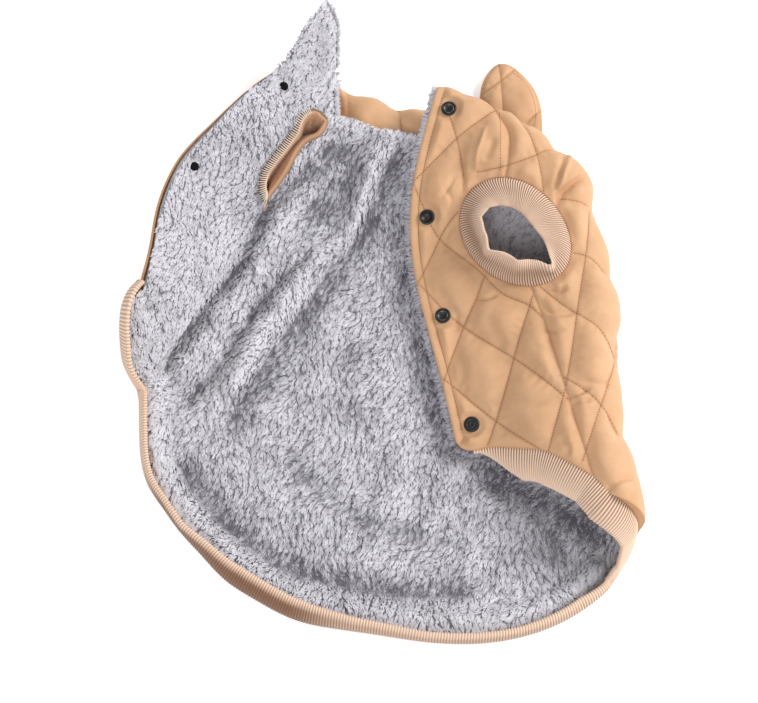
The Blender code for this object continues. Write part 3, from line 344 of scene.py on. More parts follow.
def along_line(points, line):
    """Distance in plan from each point to a line, and the run along the line at its nearest place."""
    best = np.full(len(points), 1e9)
    where = np.zeros(len(points))
    run = runs(line)
    for start, end, begin in zip(line[:-1], line[1:], run[:-1]):
        along = end - start
        t = np.clip((points - start) @ along / max(along @ along, 1e-9), 0, 1)
        far = np.linalg.norm(points - start - t[:, None] * along, axis=1)
        closer = far < best
        best[closer] = far[closer]
        where[closer] = begin + t[closer] * np.linalg.norm(along)
    return best, where


def distance_to(points, line):
    return along_line(points, np.asarray(line, float))[0]


def swell(points, line, right, left, fade=0.0):
    """One on a line, falling off at its own rate on each side of it, and over a share of it at both ends."""
    line = trace(line, 3)
    far, run = along_line(points, line)
    near = np.argmin(np.linalg.norm(points[:, None] - line[None, ::2], axis=2), axis=1) * 2
    along = np.gradient(line, axis=0)[near]
    off = points - line[near]
    on_left = along[:, 0] * off[:, 1] - along[:, 1] * off[:, 0] > 0
    share = bell(far / np.where(on_left, left, right))
    if fade:
        length = runs(line)[-1]
        share *= ramp(run / (fade * length)) * ramp((length - run) / (fade * length))
    return share


def inside(points, loop):
    loop = np.asarray(loop, float)
    x, y = points[:, 0], points[:, 1]
    found = np.zeros(len(points), bool)
    for (x0, y0), (x1, y1) in zip(loop, np.roll(loop, -1, axis=0)):
        if y1 != y0:
            found ^= ((y0 > y) != (y1 > y)) & (x < (x1 - x0) * (y - y0) / (y1 - y0) + x0)
    return found


def ripple(points, size, seed, waves=7):
    """A smooth uneven field from -1 to 1 with features about one size across."""
    pick = np.random.default_rng(seed)
    total = np.zeros(len(points))
    for _ in range(waves):
        angle = pick.uniform(0, 2 * math.pi)
        turn = np.zeros(points.shape[1])
        turn[:2] = math.cos(angle), math.sin(angle)
        if points.shape[1] > 2:
            turn[2] = pick.uniform(-0.8, 0.8)
        wave_length = size * pick.uniform(0.7, 1.6)
        total += np.sin(points @ turn * (2 * math.pi / wave_length) + pick.uniform(0, 6.28))
    return total / math.sqrt(waves * 1.6)


# %% Heights of the base surface
def bank(x, y):
    """How far the left front has risen from its valley: a round bend, then a straight slope."""
    dx = x - KINK[0]
    dy = y - KINK[1]
    up_valley = dx * VALLEY[0] + dy * VALLEY[1]
    across = np.maximum(dy * VALLEY[0] - dx * VALLEY[1], 0)
    slope = np.radians(spline(BANK_SLOPE[:, 0], BANK_SLOPE[:, 1], up_valley))
    bend = VALLEY_RADIUS * np.sin(slope)
    low = VALLEY_RADIUS - np.sqrt(VALLEY_RADIUS**2 - np.minimum(across, bend) ** 2)
    return low + np.maximum(across - bend, 0) * np.tan(slope)


def under(x, y):
    x = np.asarray(x, float)
    y = np.asarray(y, float)
    lift = HOOD_THICKNESS * ramp((y - LIFT_START_Y) / LIFT_RUN)
    return lift * (1 - 0.55 * ramp((x - 110) / 60)) + bank(x, y)


def flap_edge_x(y):
    edge = np.asarray(FLAP_EDGE, float)[::-1]
    return spline(edge[:, 1], edge[:, 0], y)


def over(x, y):
    x = np.asarray(x, float)
    y = np.asarray(y, float)
    start = flap_edge_x(y)
    end = np.interp(y, ROLL[::-1, 3], ROLL[::-1, 2])
    rise = spline(RISE[:, 0], RISE[:, 1], y)
    return under(x, y) + STACK_AT_EDGE + rise * ramp((x - start) / np.maximum(end - start, 20))


def roll_point(down, turn):
    row = spline(-ROLL[:, 1], ROLL, down)
    start = row[..., 2:]
    plan = start + (row[..., :2] - start) * np.cos(turn)[..., None]
    low = under(start[..., 0], start[..., 1])
    high = over(start[..., 0], start[..., 1])
    height = low + (high - low) * (1 + np.sin(turn)) / 2
    return np.concatenate([plan, height[..., None]], axis=-1)


def roll_grid(rows, steps):
    turn = np.linspace(-math.pi / 2, math.pi / 2, steps + 1)
    low_part = ROLL_HEM_MID + (ROLL_HEM_MID - ROLL_HEM_LOW) * turn / (math.pi / 2)
    top_part = ROLL_HEM_MID + (ROLL_HEM_TOP - ROLL_HEM_MID) * turn / (math.pi / 2)
    hem_y = np.where(turn < 0, low_part, top_part)
    first = -ROLL[0, 1]
    share = np.linspace(0, 1, rows + 1)[:, None]
    down = first + (-hem_y - first)[None, :] * share
    return roll_point(down, np.broadcast_to(turn, down.shape))


def hole_arc(start, end, step):
    count = max(2, round(abs(end - start) * 42 / step))
    angle = np.linspace(start, end, count + 1)
    x = HOLE_RADII[0] * np.cos(angle)
    y = HOLE_RADII[1] * np.sin(angle)
    c, s = math.cos(HOLE_TILT), math.sin(HOLE_TILT)
    return HOLE_CENTRE + np.stack([x * c - y * s, x * s + y * c], axis=1)


def in_hole(plan, scale):
    """Whether each point lies in the right leg hole, made larger or smaller by a scale."""
    off = plan - HOLE_CENTRE
    c, s = math.cos(HOLE_TILT), math.sin(HOLE_TILT)
    x = (off[:, 0] * c + off[:, 1] * s) / HOLE_RADII[0]
    y = (off[:, 1] * c - off[:, 0] * s) / HOLE_RADII[1]
    return np.hypot(x, y) < scale


# %% [markdown]
# A sheet is triangulated over its plan with its edges kept exact, then lifted to the base surface. The three
# plans share the points of their edges, so that the whole coat is one surface with smooth normals before the
# layers are measured from it.

# %% The base surface
def fill(loop, spacing):
    """Triangles over the ground inside a loop, on rows of a triangular lattice."""
    loop = np.asarray(loop, float)
    low, high = loop.min(axis=0), loop.max(axis=0)
    pitch = spacing * math.sqrt(3) / 2
    across, down = np.arange((high[0] - low[0]) / spacing), np.arange((high[1] - low[1]) / pitch)
    columns, rows = np.meshgrid(across, down)
    x, y = low[0] + (columns + 0.5 * (rows % 2)) * spacing, low[1] + rows * pitch
    points = np.column_stack([x.ravel(), y.ravel()])
    points = points[inside(points, loop)]
    points = points[distance_to(points, np.vstack([loop, loop[:1]])) > spacing * 0.5]
    taken = np.vstack([loop, points])
    rim = [(i, (i + 1) % len(loop)) for i in range(len(loop))]
    found = delaunay_2d_cdt([Vector(p) for p in taken], rim, [], 0, 1e-5, True)
    spots = np.array([taken[s[0]] if s else tuple(p) for p, s in zip(found[0], found[3])])
    faces = np.array(found[2])
    faces = faces[inside(spots[faces].mean(axis=1), loop)]
    a, b, c = (spots[faces[:, k]] for k in range(3))
    area = (b[:, 0] - a[:, 0]) * (c[:, 1] - a[:, 1]) - (b[:, 1] - a[:, 1]) * (c[:, 0] - a[:, 0])
    faces[area < 0] = faces[area < 0][:, ::-1]
    return spots, faces[np.abs(area) > 1e-4]


def outline(edges, names):
    """The closed loop of the named edges. A name with a minus sign before it is run backwards."""
    parts = [edges[name[1:]][::-1] if name[0] == "-" else edges[name] for name in names.split()]
    return np.vstack([parts[0]] + [part[1:] for part in parts[1:]])[:-1]


LEFT_OUTLINE = "left_seam slit_front left_shoulder left_neck left_edge left_hem"
BACK_OUTLINE = "back_hem -roll_low -back_neck -left_shoulder -slit_back -left_seam"
STRIP_OUTLINE = "roll_top -strip_hem -side hole_back -shoulder"
FRONT_OUTLINE = "shoulder hole_front side -flap_hem -flap_edge -flap_neck"


def grid_quads(index):
    """The four corners of every cell in a grid of point numbers."""
    return np.stack([index[:-1, :-1], index[1:, :-1], index[1:, 1:], index[:-1, 1:]], -1).reshape(-1, 4)


def nearest_of(points):
    """A tree that finds the nearest of the points."""
    tree = KDTree(len(points))
    for k, spot in enumerate(points):
        tree.insert(spot, k)
    tree.balance()
    return tree


def on_chart(plan, height):
    return np.column_stack([plan, height(plan[:, 0], plan[:, 1])])


def cut_edges(step, rows, steps):
    """Every edge of the cut as points a step apart, with the ends that meet made the same."""
    rolled = roll_grid(rows, steps)
    lines = dict(
        flap_edge=FLAP_EDGE, flap_hem=FLAP_HEM, strip_hem=STRIP_HEM, flap_neck=FLAP_NECK,
        shoulder=SHOULDER_SEAM, side=SIDE_SEAM, back_neck=BACK_NECK, back_hem=BACK_HEM, left_seam=LEFT_SEAM,
        slit_back=SLIT_BACK_SIDE, slit_front=SLIT_FRONT_SIDE, left_shoulder=LEFT_SHOULDER,
        left_neck=LEFT_NECK, left_edge=LEFT_EDGE, left_hem=LEFT_HEM,
    )
    made = {name: trace(line, step) for name, line in lines.items()}
    made["rolled"] = rolled
    made["roll_low"] = rolled[:, 0, :2]
    made["roll_top"] = rolled[:, -1, :2]
    made["hole_front"] = hole_arc(HOLE_SHOULDER, HOLE_SIDE + 2 * math.pi, step)
    made["hole_back"] = hole_arc(HOLE_SIDE, HOLE_SHOULDER, step)
    for name, at, other, place in (
        ("back_hem", -1, "roll_low", -1), ("back_neck", -1, "roll_low", 0), ("strip_hem", -1, "roll_top", -1),
        ("shoulder", 0, "roll_top", 0), ("flap_neck", 0, "roll_top", 0), ("shoulder", -1, "hole_front", 0),
        ("hole_back", -1, "hole_front", 0), ("hole_back", 0, "hole_front", -1), ("side", 0, "hole_front", -1),
    ):
        made[name][at] = made[other][place]
    return made


class Base:
    """The base surface of the whole coat at one resolution, with a panel name for each triangle."""

    def __init__(self, edge_step, back_step, left_step, upper_step, rows, steps):
        e = self.edges = cut_edges(edge_step, rows, steps)
        self.parts = []
        self.add(*fill(outline(e, LEFT_OUTLINE), left_step), under, "left", 0)
        self.add(*fill(outline(e, BACK_OUTLINE), back_step), under, "back", 0)
        n, m = e["rolled"].shape[:2]
        cells = grid_quads(np.arange(n * m).reshape(n, m))
        halves = np.concatenate([cells[:, :3], cells[:, [0, 2, 3]]])
        self.parts.append((e["rolled"].reshape(-1, 3), halves, "back", 2))
        self.add(*fill(outline(e, STRIP_OUTLINE), upper_step), over, "back", 1)
        self.add(*fill(outline(e, FRONT_OUTLINE), upper_step), over, "right", 1)
        self.weld()

    def add(self, plan, faces, height, panel, chart):
        if chart == 1:
            faces = faces[:, ::-1]
        self.parts.append((on_chart(plan, height), faces, panel, chart))

    def weld(self):
        start = np.cumsum([0] + [len(part[0]) for part in self.parts])
        points = np.vstack([part[0] for part in self.parts])
        charts = np.concatenate([np.full(len(part[0]), part[3]) for part in self.parts])
        faces = np.vstack([part[1] + first for part, first in zip(self.parts, start)])
        self.panels = np.concatenate([[part[2]] * len(part[1]) for part in self.parts])
        _, first, index = np.unique(
            np.round(points / 0.02).astype(int), axis=0, return_index=True, return_inverse=True
        )
        self.points = points[first]
        self.charts = charts[first]
        self.faces = index.reshape(-1)[faces]
        a, b, c = (self.points[self.faces[:, k]] for k in range(3))
        across = np.cross(b - a, c - a)
        self.areas = np.linalg.norm(across, axis=1) / 2
        self.normals = np.zeros(self.points.shape)
        for k in range(3):
            np.add.at(self.normals, self.faces[:, k], across)
        self.normals = unit(self.normals)

    def panel(self, name):
        """The points used by one panel, its faces on them, and its rim as pairs of points."""
        faces = self.faces[self.panels == name]
        used, index = np.unique(faces, return_inverse=True)
        faces = index.reshape(faces.shape)
        sides = np.concatenate([faces[:, [0, 1]], faces[:, [1, 2]], faces[:, [2, 0]]])
        code = np.minimum(sides[:, 0], sides[:, 1]) * len(used) + np.maximum(sides[:, 0], sides[:, 1])
        _, back, count = np.unique(code, return_inverse=True, return_counts=True)
        return used, faces, sides[count[back] == 1]


shell_base = Base(edge_step=1.4, back_step=3.6, left_step=2.2, upper_step=1.3, rows=270, steps=46)
lining_base = Base(edge_step=2.5, back_step=2.7, left_step=2.7, upper_step=3.4, rows=150, steps=24)
print("shell base", len(shell_base.points), "points, lining base", len(lining_base.points), "points")
for name in ("back", "right", "left"):
    print(name, "flat area", round(shell_base.areas[shell_base.panels == name].sum() * 1e-6, 5), "m2")


# %% Making pieces
def make_piece(name, points, faces, finish, values=None):
    """A piece from points in millimetres and arrays of faces, with any named values stored on its points."""
    mesh = bpy.data.meshes.new(name)
    placed = (np.asarray(points, float) - CENTRE) * MM
    mesh.vertices.add(len(placed))
    mesh.vertices.foreach_set("co", placed.ravel())
    corners = np.concatenate([f.ravel() for f in faces]).astype(np.int32)
    sizes = np.concatenate([np.full(len(f), f.shape[1]) for f in faces])
    starts = np.concatenate([[0], np.cumsum(sizes)[:-1]]).astype(np.int32)
    mesh.loops.add(len(corners))
    mesh.loops.foreach_set("vertex_index", corners)
    mesh.polygons.add(len(sizes))
    mesh.polygons.foreach_set("loop_start", starts)
    mesh.update(calc_edges=True)
    for key, value in (values or {}).items():
        layer = mesh.attributes.new(key, "FLOAT", "POINT")
        layer.data.foreach_set("value", np.asarray(value, np.float32))
    mesh.shade_smooth()
    mesh.materials.append(finish)
    made = bpy.data.objects.new(name, mesh)
    bpy.context.scene.collection.objects.link(made)
    return made


def settle(piece, nodes):
    """The piece rides on the coat's one body and stands for its nodes."""
    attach(piece, "root")
    if nodes:
        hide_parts(*nodes)
    faces = sum(len(p.vertices) - 2 for p in piece.data.polygons)
    print(f"{piece.name}: {faces} triangles")
    return piece


# %% [markdown]
# Materials. The shell is a brushed microfibre, matt with a faint sheen, and its weave is too fine to show from
# a step away; its stitch grooves, seams, deep creases and rims are painted darker, as shade. The pile is
# painted light at its tips and dark at its roots, as shade among its fibres. The knit is a cotton rib, with
# the furrows between its ribs painted darker, as shade.

# %% Materials
def noise(tree, place, scale, detail, roughness):
    inputs = {"Vector": place, "Scale": scale, "Detail": detail, "Roughness": roughness}
    return add_node(tree, "ShaderNodeTexNoise", inputs).outputs["Fac"]


def stored(tree, name):
    """The value that make_piece stored on the points under a name."""
    return add_node(tree, "ShaderNodeAttribute", attribute_name=name).outputs["Fac"]


def added(tree, first, second, **settings):
    return add_node(tree, "ShaderNodeMath", {0: first, 1: second}, operation="ADD", **settings).outputs[0]


def mix_colour(tree, share, first, second):
    return add_node(tree, "ShaderNodeMix", {0: share, 6: first, 7: second}, data_type="RGBA").outputs[2]


def spread(tree, value, low, high):
    return add_node(tree, "ShaderNodeMapRange", {"Value": value, "From Min": low, "From Max": high}).outputs[0]


def object_space(tree):
    return add_node(tree, "ShaderNodeTexCoord").outputs["Object"]


def add_bump(tree, shader, height, strength, distance):
    bump = add_node(tree, "ShaderNodeBump", {"Height": height, "Strength": strength, "Distance": distance})
    tree.links.new(bump.outputs[0], shader.inputs["Normal"])


def brushed_microfibre(name, light, dark, painted_shade_colour):
    made, tree, shader = new_material(name)
    place = object_space(tree)
    set_inputs(shader, {"Roughness": 0.72, "Sheen Weight": 0.28, "Sheen Roughness": 0.45,
                        "Sheen Tint": linear("F6DCC0"), "Specular IOR Level": 0.32})
    tone = spread(tree, noise(tree, place, 55, 4, 0.6), 0.3, 0.7)
    cloth = mix_colour(tree, tone, linear(dark), linear(light))
    # A darker colour is mixed in along the stitch grooves, seams, deep creases and rims: painted shade.
    colour = mix_colour(tree, stored(tree, "painted_shade"), cloth, linear(painted_shade_colour))
    tree.links.new(colour, shader.inputs["Base Color"])
    threads = {"Scale": 900.0, "Vector": place, "Distortion": 0.6}
    weave = add_node(tree, "ShaderNodeTexWave", threads, bands_direction="DIAGONAL").outputs["Fac"]
    add_bump(tree, shader, added(tree, weave, noise(tree, place, 2600, 2, 0.5)), 0.18, 0.0004)
    return made


def sherpa(name, root, tip):
    made, tree, shader = new_material(name)
    place = object_space(tree)
    set_inputs(shader, {"Roughness": 0.95, "Sheen Weight": 0.35, "Sheen Roughness": 0.6,
                        "Specular IOR Level": 0.2})
    strands = noise(tree, place, 1500, 2, 0.6)
    shift = spread(tree, added(tree, noise(tree, place, 70, 3, 0.6), strands), 0.7, 1.3)
    offset = add_node(tree, "ShaderNodeMath", {0: shift, 1: 0.3, 2: -0.15}, operation="MULTIPLY_ADD")
    share = added(tree, stored(tree, "pile"), offset.outputs[0], use_clamp=True)
    # The stored pile value mixes from the root colour, painted dark as shade among the fibres, to the tip
    # colour.
    tree.links.new(mix_colour(tree, share, linear(root), linear(tip)), shader.inputs["Base Color"])
    add_bump(tree, shader, strands, 0.5, 0.0005)
    return made


def rib_knit(name, shaded_furrow, crest):
    made, tree, shader = new_material(name)
    set_inputs(shader, {"Roughness": 0.85, "Sheen Weight": 0.2, "Specular IOR Level": 0.25})
    # The furrows between the ribs take the darker colour: painted shade.
    colour = mix_colour(tree, stored(tree, "rib"), linear(shaded_furrow), linear(crest))
    tree.links.new(colour, shader.inputs["Base Color"])
    add_bump(tree, shader, noise(tree, object_space(tree), 1700, 2, 0.6), 0.35, 0.0004)
    return made


def plain(name, colour, roughness, metallic=0.0, grain=3000, depth=0.1, specular=0.5):
    made, tree, shader = new_material(name)
    set_inputs(shader, {"Base Color": linear(colour), "Roughness": roughness, "Metallic": metallic,
                        "Specular IOR Level": specular})
    add_bump(tree, shader, noise(tree, object_space(tree), grain, 2, 0.5), depth, 0.0002)
    return made


MICROFIBRE = brushed_microfibre("brushed_microfibre", "D3A882", "C79B74", "BA8C66")
SHERPA = sherpa("sherpa_pile", "57545E", "D6D4DB")
KNIT = rib_knit("cotton_rib", "6E4428", "EACCB4")
# The inside of the rib tube is a darker copy of the same rib: painted shade.
SHADED_KNIT_INSIDE = rib_knit("cotton_rib_inside_shaded", "54301C", "E2B48E")
# The quilting thread is painted darker than the tan thread really is, as the shade in its needle holes.
THREAD = plain("darkened_sewing_thread", "7E5030", 0.6, grain=4000, depth=0.3)
PALE_THREAD = plain("overlock_thread", "E4DCD0", 0.7, grain=4000, depth=0.3)
TAN_THREAD = plain("tan_thread", "D2A27C", 0.65, grain=4000, depth=0.3)
NYLON = plain("black_nylon", "111113", 0.44)
MATT_NYLON = plain("matt_black_nylon", "09090E", 0.8, specular=0.12)
STEEL = plain("nickel_ring", "8E8B84", 0.3, 1.0)
print("materials:", len(bpy.data.materials))


# %% [markdown]
# The quilted shell. The real one is two cloths with wadding between them, sewn through along two families of
# lines, so it stands highest in the middle of each diamond and pinches to the lining at the stitches. The
# height is worked out from the distance to the nearest line, with puckers along the seams and a few listed
# creases where the photograph shows them.

# %% Relief of the shell
QUILT_PITCH = 43.0
QUILT_TURN = math.radians(35)
PLACKET_WIDTH = 6.5
GROOVE = 0.9  # half width of the groove that a seam presses into the cloth


def quilt_height(points, families, puff_height, width=9.5):
    """Height of the wadding: nothing on a stitch line, full in the middle of a diamond, puckered beside it."""
    share = np.ones(len(points))
    groove = np.zeros(len(points))
    pucker = np.zeros(len(points))
    for family in families:
        best = np.full(len(points), 1e9)
        where = np.zeros(len(points))
        for number, line in enumerate(family):
            far, run = along_line(points, trace(line, 5))
            closer = far < best
            best[closer] = far[closer]
            where[closer] = run[closer] + number * 37.0
        share *= 1 - np.exp(-((best / width) ** 1.5))
        groove += bell(best / GROOVE)
        wave = np.sin(where * (2 * math.pi / 9.0) + 2.4 * np.sin(where / 11.0) + ripple(points, 30, 21))
        pucker += wave * bell((best - 3.6) / 3.4) * 0.3 * ramp(ripple(points, 26, 22) + 0.5)
    # The second value darkens the cloth in its stitch grooves, as painted shade.
    return puff_height * share - 0.5 * np.minimum(groove, 1.2) + pucker, np.minimum(groove, 1.0)


def near_studs(points, places):
    share = np.zeros(len(points))
    for place in places:
        far = np.linalg.norm(points - np.asarray(place, float), axis=1)
        share = np.maximum(share, 1 - ramp((far - 7.0) / 5))
    return share


def left_quilt_lines():
    """Two families of evenly spaced lines, turned by the same angle to either side of the grain."""
    grain = math.atan2(VALLEY[1], VALLEY[0])
    families = []
    for side in (-1, 1):
        angle = grain + side * QUILT_TURN
        along = np.array((math.cos(angle), math.sin(angle)))
        across = np.array((-math.sin(angle), math.cos(angle)))
        lines = []
        for k in range(-8, 12):
            middle = across * QUILT_PITCH * k
            lines.append([middle + along * t for t in np.linspace(-420, 420, 3)])
        families.append(lines)
    return families


def edge_share(plan, edges, names, width):
    """Zero on the named edges, one away from them."""
    share = np.ones(len(plan))
    for name in names:
        share *= 1 - bell(distance_to(plan, edges[name][::3]) / width)
    return share


def shell_height(base, used):
    """How far the outside of the shell stands out of the base surface."""
    points = base.points[used]
    plan = points[:, :2]
    chart = base.charts[used]
    height = np.zeros(len(used))
    painted_shade = np.zeros(len(used))
    top = chart > 0
    at = plan[top]
    quilt, painted_shade[top] = quilt_height(at, [RISING_LINES, FALLING_LINES], 5.4, 8.5)
    edges = base.edges
    seamed = ("shoulder", "side", "flap_hem", "strip_hem", "flap_neck", "hole_front", "hole_back")
    rims = edge_share(at, edges, seamed, 5)
    placket = distance_to(at, edges["flap_edge"][::3])
    rims *= ramp((placket - 6.0) / 7.0)
    folds = np.zeros(len(at))
    for depth, right, left, line in SHELL_CREASES:
        line = np.array(line, float)
        first, last = 0.45 * (line[0] - line[1]), 0.45 * (line[-1] - line[-2])
        line = np.vstack([line[0] + first, line, line[-1] + last])
        folds += 1.2 * depth * swell(at, line, 0.8 * right, 0.8 * left, 0.3)
    squashed = points[top] * (1, 1, 0.6)
    small = (0.25 * ripple(squashed, 17.0, 3) + 0.45 * ripple(squashed, 31.0, 5)) * rims
    hole = np.vstack([edges["hole_front"], edges["hole_back"]])
    off_cuff, around = along_line(at, hole)
    gathers = np.sin(around / 2.1 + 2.2 * np.sin(around / 13.0)) * (0.5 + 0.5 * ripple(at, 24, 9))
    small += 0.75 * gathers * bell(off_cuff / 9.0) * ramp(off_cuff / 2.5)
    folds = np.maximum(folds, -(SHELL_WALL - 1.2) - quilt * rims)
    # Deep creases are painted darker, as shade.
    painted_shade[top] = np.maximum(painted_shade[top], 0.5 * ramp((-folds - 2.0) / 2.4))
    folds = folds * edge_share(at, edges, ("flap_edge", "flap_neck"), 3)
    height[top] = (quilt * rims + folds + small) * (1 - near_studs(at, CAPS))
    seams = np.minimum(distance_to(at, edges["side"]), distance_to(at, edges["shoulder"]))
    placket_seam = bell((placket - PLACKET_WIDTH) / GROOVE)
    height[top] -= 0.6 * placket_seam + 0.9 * bell(seams / 1.7)
    # The placket seam and the other seams are painted darker, as shade in their grooves.
    painted_shade[top] = np.maximum(painted_shade[top], 0.8 * placket_seam)
    for key in ("shoulder", "side", "strip_hem", "flap_hem", "hole_front", "hole_back"):
        painted_shade[top] = np.maximum(painted_shade[top], 0.95 * bell(distance_to(at, edges[key]) / GROOVE))
    fade = ramp((points[top, 2] - 22) / 16)
    height[top] = np.where(chart[top] == 2, height[top] * fade, height[top])
    low = ~top
    at = plan[low]
    quilt, painted_shade[low] = quilt_height(at, left_quilt_lines(), 3.2)
    rise = ramp((bank(at[:, 0], at[:, 1]) - 6) / 10)
    rims = edge_share(at, edges, ("left_edge", "left_neck", "left_hem", "slit_front"), 6)
    height[low] = quilt * rise * rims * (1 - near_studs(at, BACKS))
    painted_shade[low] *= rise
    return height, painted_shade


def skin(base, panel_name, height, inner, inward, edge_round, drop):
    """One panel as a sheet: its outer side, rolled over the rim to the inner side of its wall.

    height is measured along the outward side, inner is where the wall's inner side lies, and drop is how far
    the surface falls towards the middle of the wall at its rim.
    """
    used, faces, sides = base.panel(panel_name)
    points = base.points[used]
    normals = base.normals[used]
    rim = np.unique(sides)
    tree = nearest_of(points[rim])
    rim_far = np.array([tree.find(p)[2] for p in points])
    bend = np.sqrt(np.maximum(1 - (1 - np.clip(rim_far / edge_round, 0, 1)) ** 2, 0))
    pull = np.zeros(points.shape)
    side_out = unit(np.cross(points[sides[:, 1]] - points[sides[:, 0]], normals[sides[:, 0]]))
    for k in (0, 1):
        np.add.at(pull, sides[:, k], -side_out)
    base_points = points + unit(pull) * inward
    middle = height + (inner - height) * 0.45
    level = middle + (height - middle) * (1 - drop + drop * bend)
    outer = base_points + normals * level[:, None]
    outer[:, 2] = np.maximum(outer[:, 2], 0.02)
    ring = base_points[rim] + unit(pull[rim]) * 0.7 + normals[rim] * inner
    ring[:, 2] = np.maximum(ring[:, 2], 0.05)
    place = np.zeros(len(points), int)
    place[rim] = len(points) + np.arange(len(rim))
    first, second = place[sides[:, 0]], place[sides[:, 1]]
    quads = np.column_stack([second, first, first + len(rim), second + len(rim)])
    return np.vstack([outer, outer[rim], ring]), faces, quads


def shell_piece(name, panel_name, nodes):
    used = shell_base.panel(panel_name)[0]
    stand_out, painted_shade = shell_height(shell_base, used)
    plan = shell_base.points[used][:, :2]
    free = 1 - edge_share(plan, shell_base.edges, ("flap_edge", "flap_neck", "left_edge", "left_neck"), 2.5)
    drop = 0.12 + 0.6 * free
    points, faces, quads = skin(shell_base, panel_name, -stand_out, SHELL_WALL, 0.0, 1.6, drop)
    # The rolled rims of each panel are painted a little darker, as shade.
    painted_shade = np.concatenate([painted_shade, np.full(len(points) - len(painted_shade), 0.35)])
    made = make_piece(name, points, [faces[:, ::-1], quads[:, ::-1]], MICROFIBRE, {"painted_shade": painted_shade})
    return settle(made, nodes)


# %% Build the shell
shell_back = shell_piece("shell_back", "back", ["back_shell"])
shell_right = shell_piece("shell_right", "right", ["front_right_shell"])
shell_left = shell_piece("shell_left", "left", ["front_left_shell"])


# %% [markdown]
# The sherpa lining. Its backing cloth lies on the shell, and locks of pile stand on the backing. Each lock is
# a bent leaf of seven points, two rows of three and a tip. The locks are drawn together in uneven tufts that
# lean with the nap; their tips are painted light, and their roots and the gaps between tufts painted dark, as
# shade. Thousands of locks make one piece.

# %% The lining's backing
def lining_wall(base, used):
    """Thickness of the plush at each point, with its folds and the roll of it beside the hem."""
    plan = base.points[used][:, :2]
    edges = base.edges
    left_of_flap = flap_edge_x(plan[:, 1]) - plan[:, 0]
    clear = np.maximum(ramp((left_of_flap - 4) / 16), ramp((-116 - plan[:, 1]) / 14))
    folds = np.zeros(len(plan))
    for height, right, left, line in RIDGES:
        folds += height * swell(plan, line, right, left)
    for share, right, left, line in HOLLOWS:
        folds -= 4.2 * share * swell(plan, line, right, left)
    hem = distance_to(plan, edges["back_hem"][::2])
    ridge = 5.5 * ramp(hem / 5) * (1 - ramp((hem - 13) / 11))
    any_hem = hem
    for name in ("left_hem", "strip_hem", "flap_hem"):
        any_hem = np.minimum(any_hem, distance_to(plan, edges[name]))
    taper = 1.6 * (1 - ramp(any_hem / 5))
    dimple = 1.2 * near_studs(plan, BACKS)
    pressed = 3.4 * ramp((plan[:, 0] - 78) / 16) * ramp((plan[:, 1] - 92) / 30)
    low = base.charts[used] == 0
    wall = LINING_WALL + np.where(low, clear * (folds + ridge) - dimple, 0) - taper - pressed
    return np.maximum(wall, 2.6)


LINING_NEAR = SHELL_WALL + LAYER_GAP


def pile_tone(plan):
    """For each point how light its pile is painted, how much painted shade it takes in the hollows, and how
    much of the roll's it has.
    """
    tone = 0.09 * ripple(plan, 34.0, 51) + 0.07 * ripple(plan, 13.0, 52)
    for share, middle, size in ((0.13, (-158.0, 50.0), (20.0, 42.0)), (-0.12, (-108.0, 128.0), (26.0, 20.0))):
        tone += share * bell(np.linalg.norm((plan - middle) / size, axis=1))
    # Painted shade along the hollows, deepest on their lines.
    dark = np.zeros(len(plan))
    for share, right, left, line in HOLLOWS:
        dark = np.maximum(dark, share * swell(plan, line, right, left))
    dark *= 0.85 + 0.25 * ripple(plan, 22.0, 54)
    # The ridges' crests are painted lighter, as highlight.
    for height, right, left, line in RIDGES:
        tone += 0.03 * height * swell(plan, line, right, left)
    # The fringes at the necks and the right front's edge are painted lighter, as if lit.
    for key in ("back_neck", "flap_edge", "left_neck"):
        tone += 0.25 * bell(distance_to(plan, lining_base.edges[key]) / 5.0)
    hem = distance_to(plan, lining_base.edges["back_hem"][::2])
    roll = bell((hem - 10) / 9.0)
    by_tip = ramp((plan[:, 1] - 165) / 35)
    # The roll beside the hem is painted lighter, as highlight, and the pile in the leg hole lighter, as if
    # lit; the pile grows a little darker towards the left front's tip.
    tone += 0.3 * roll + 0.33 * in_hole(plan, 1.3) - 0.1 * by_tip
    return np.column_stack([tone, np.clip(dark, 0, 1.2), np.maximum(roll, by_tip)])


WALL_AT = lining_wall(lining_base, np.arange(len(lining_base.points)))
TONE_AT = pile_tone(lining_base.points[:, :2])
GROUND_AT = lining_base.points + lining_base.normals * (LINING_NEAR + np.maximum(WALL_AT - PILE, 1.0))[:, None]
a, b, c = (GROUND_AT[lining_base.faces[:, k]] for k in range(3))
FACING_AT = np.zeros(GROUND_AT.shape)
for k in range(3):
    np.add.at(FACING_AT, lining_base.faces[:, k], np.cross(b - a, c - a))
FACING_AT = unit(FACING_AT)


def lining_piece(name, panel_name, nodes):
    used = lining_base.panel(panel_name)[0]
    top = LINING_NEAR + np.maximum(WALL_AT[used] - PILE, 1.0)
    points, faces, quads = skin(lining_base, panel_name, top, LINING_NEAR, 1.6, 3.5, 0.75)
    # The backing is painted darker in the hollows, as shade.
    tone = TONE_AT[used, 0] - 0.42 * TONE_AT[used, 1]
    tone = np.concatenate([tone, np.zeros(len(points) - len(used))])
    made = make_piece(name, points, [faces, quads], SHERPA, {"pile": np.clip(0.46 + tone, 0.05, 0.8)})
    return settle(made, nodes)


lining_back = lining_piece("lining_back", "back", ["back_lining"])
lining_right = lining_piece("lining_right", "right", ["front_right_lining"])
lining_left = lining_piece("lining_left", "left", ["front_left_lining"])


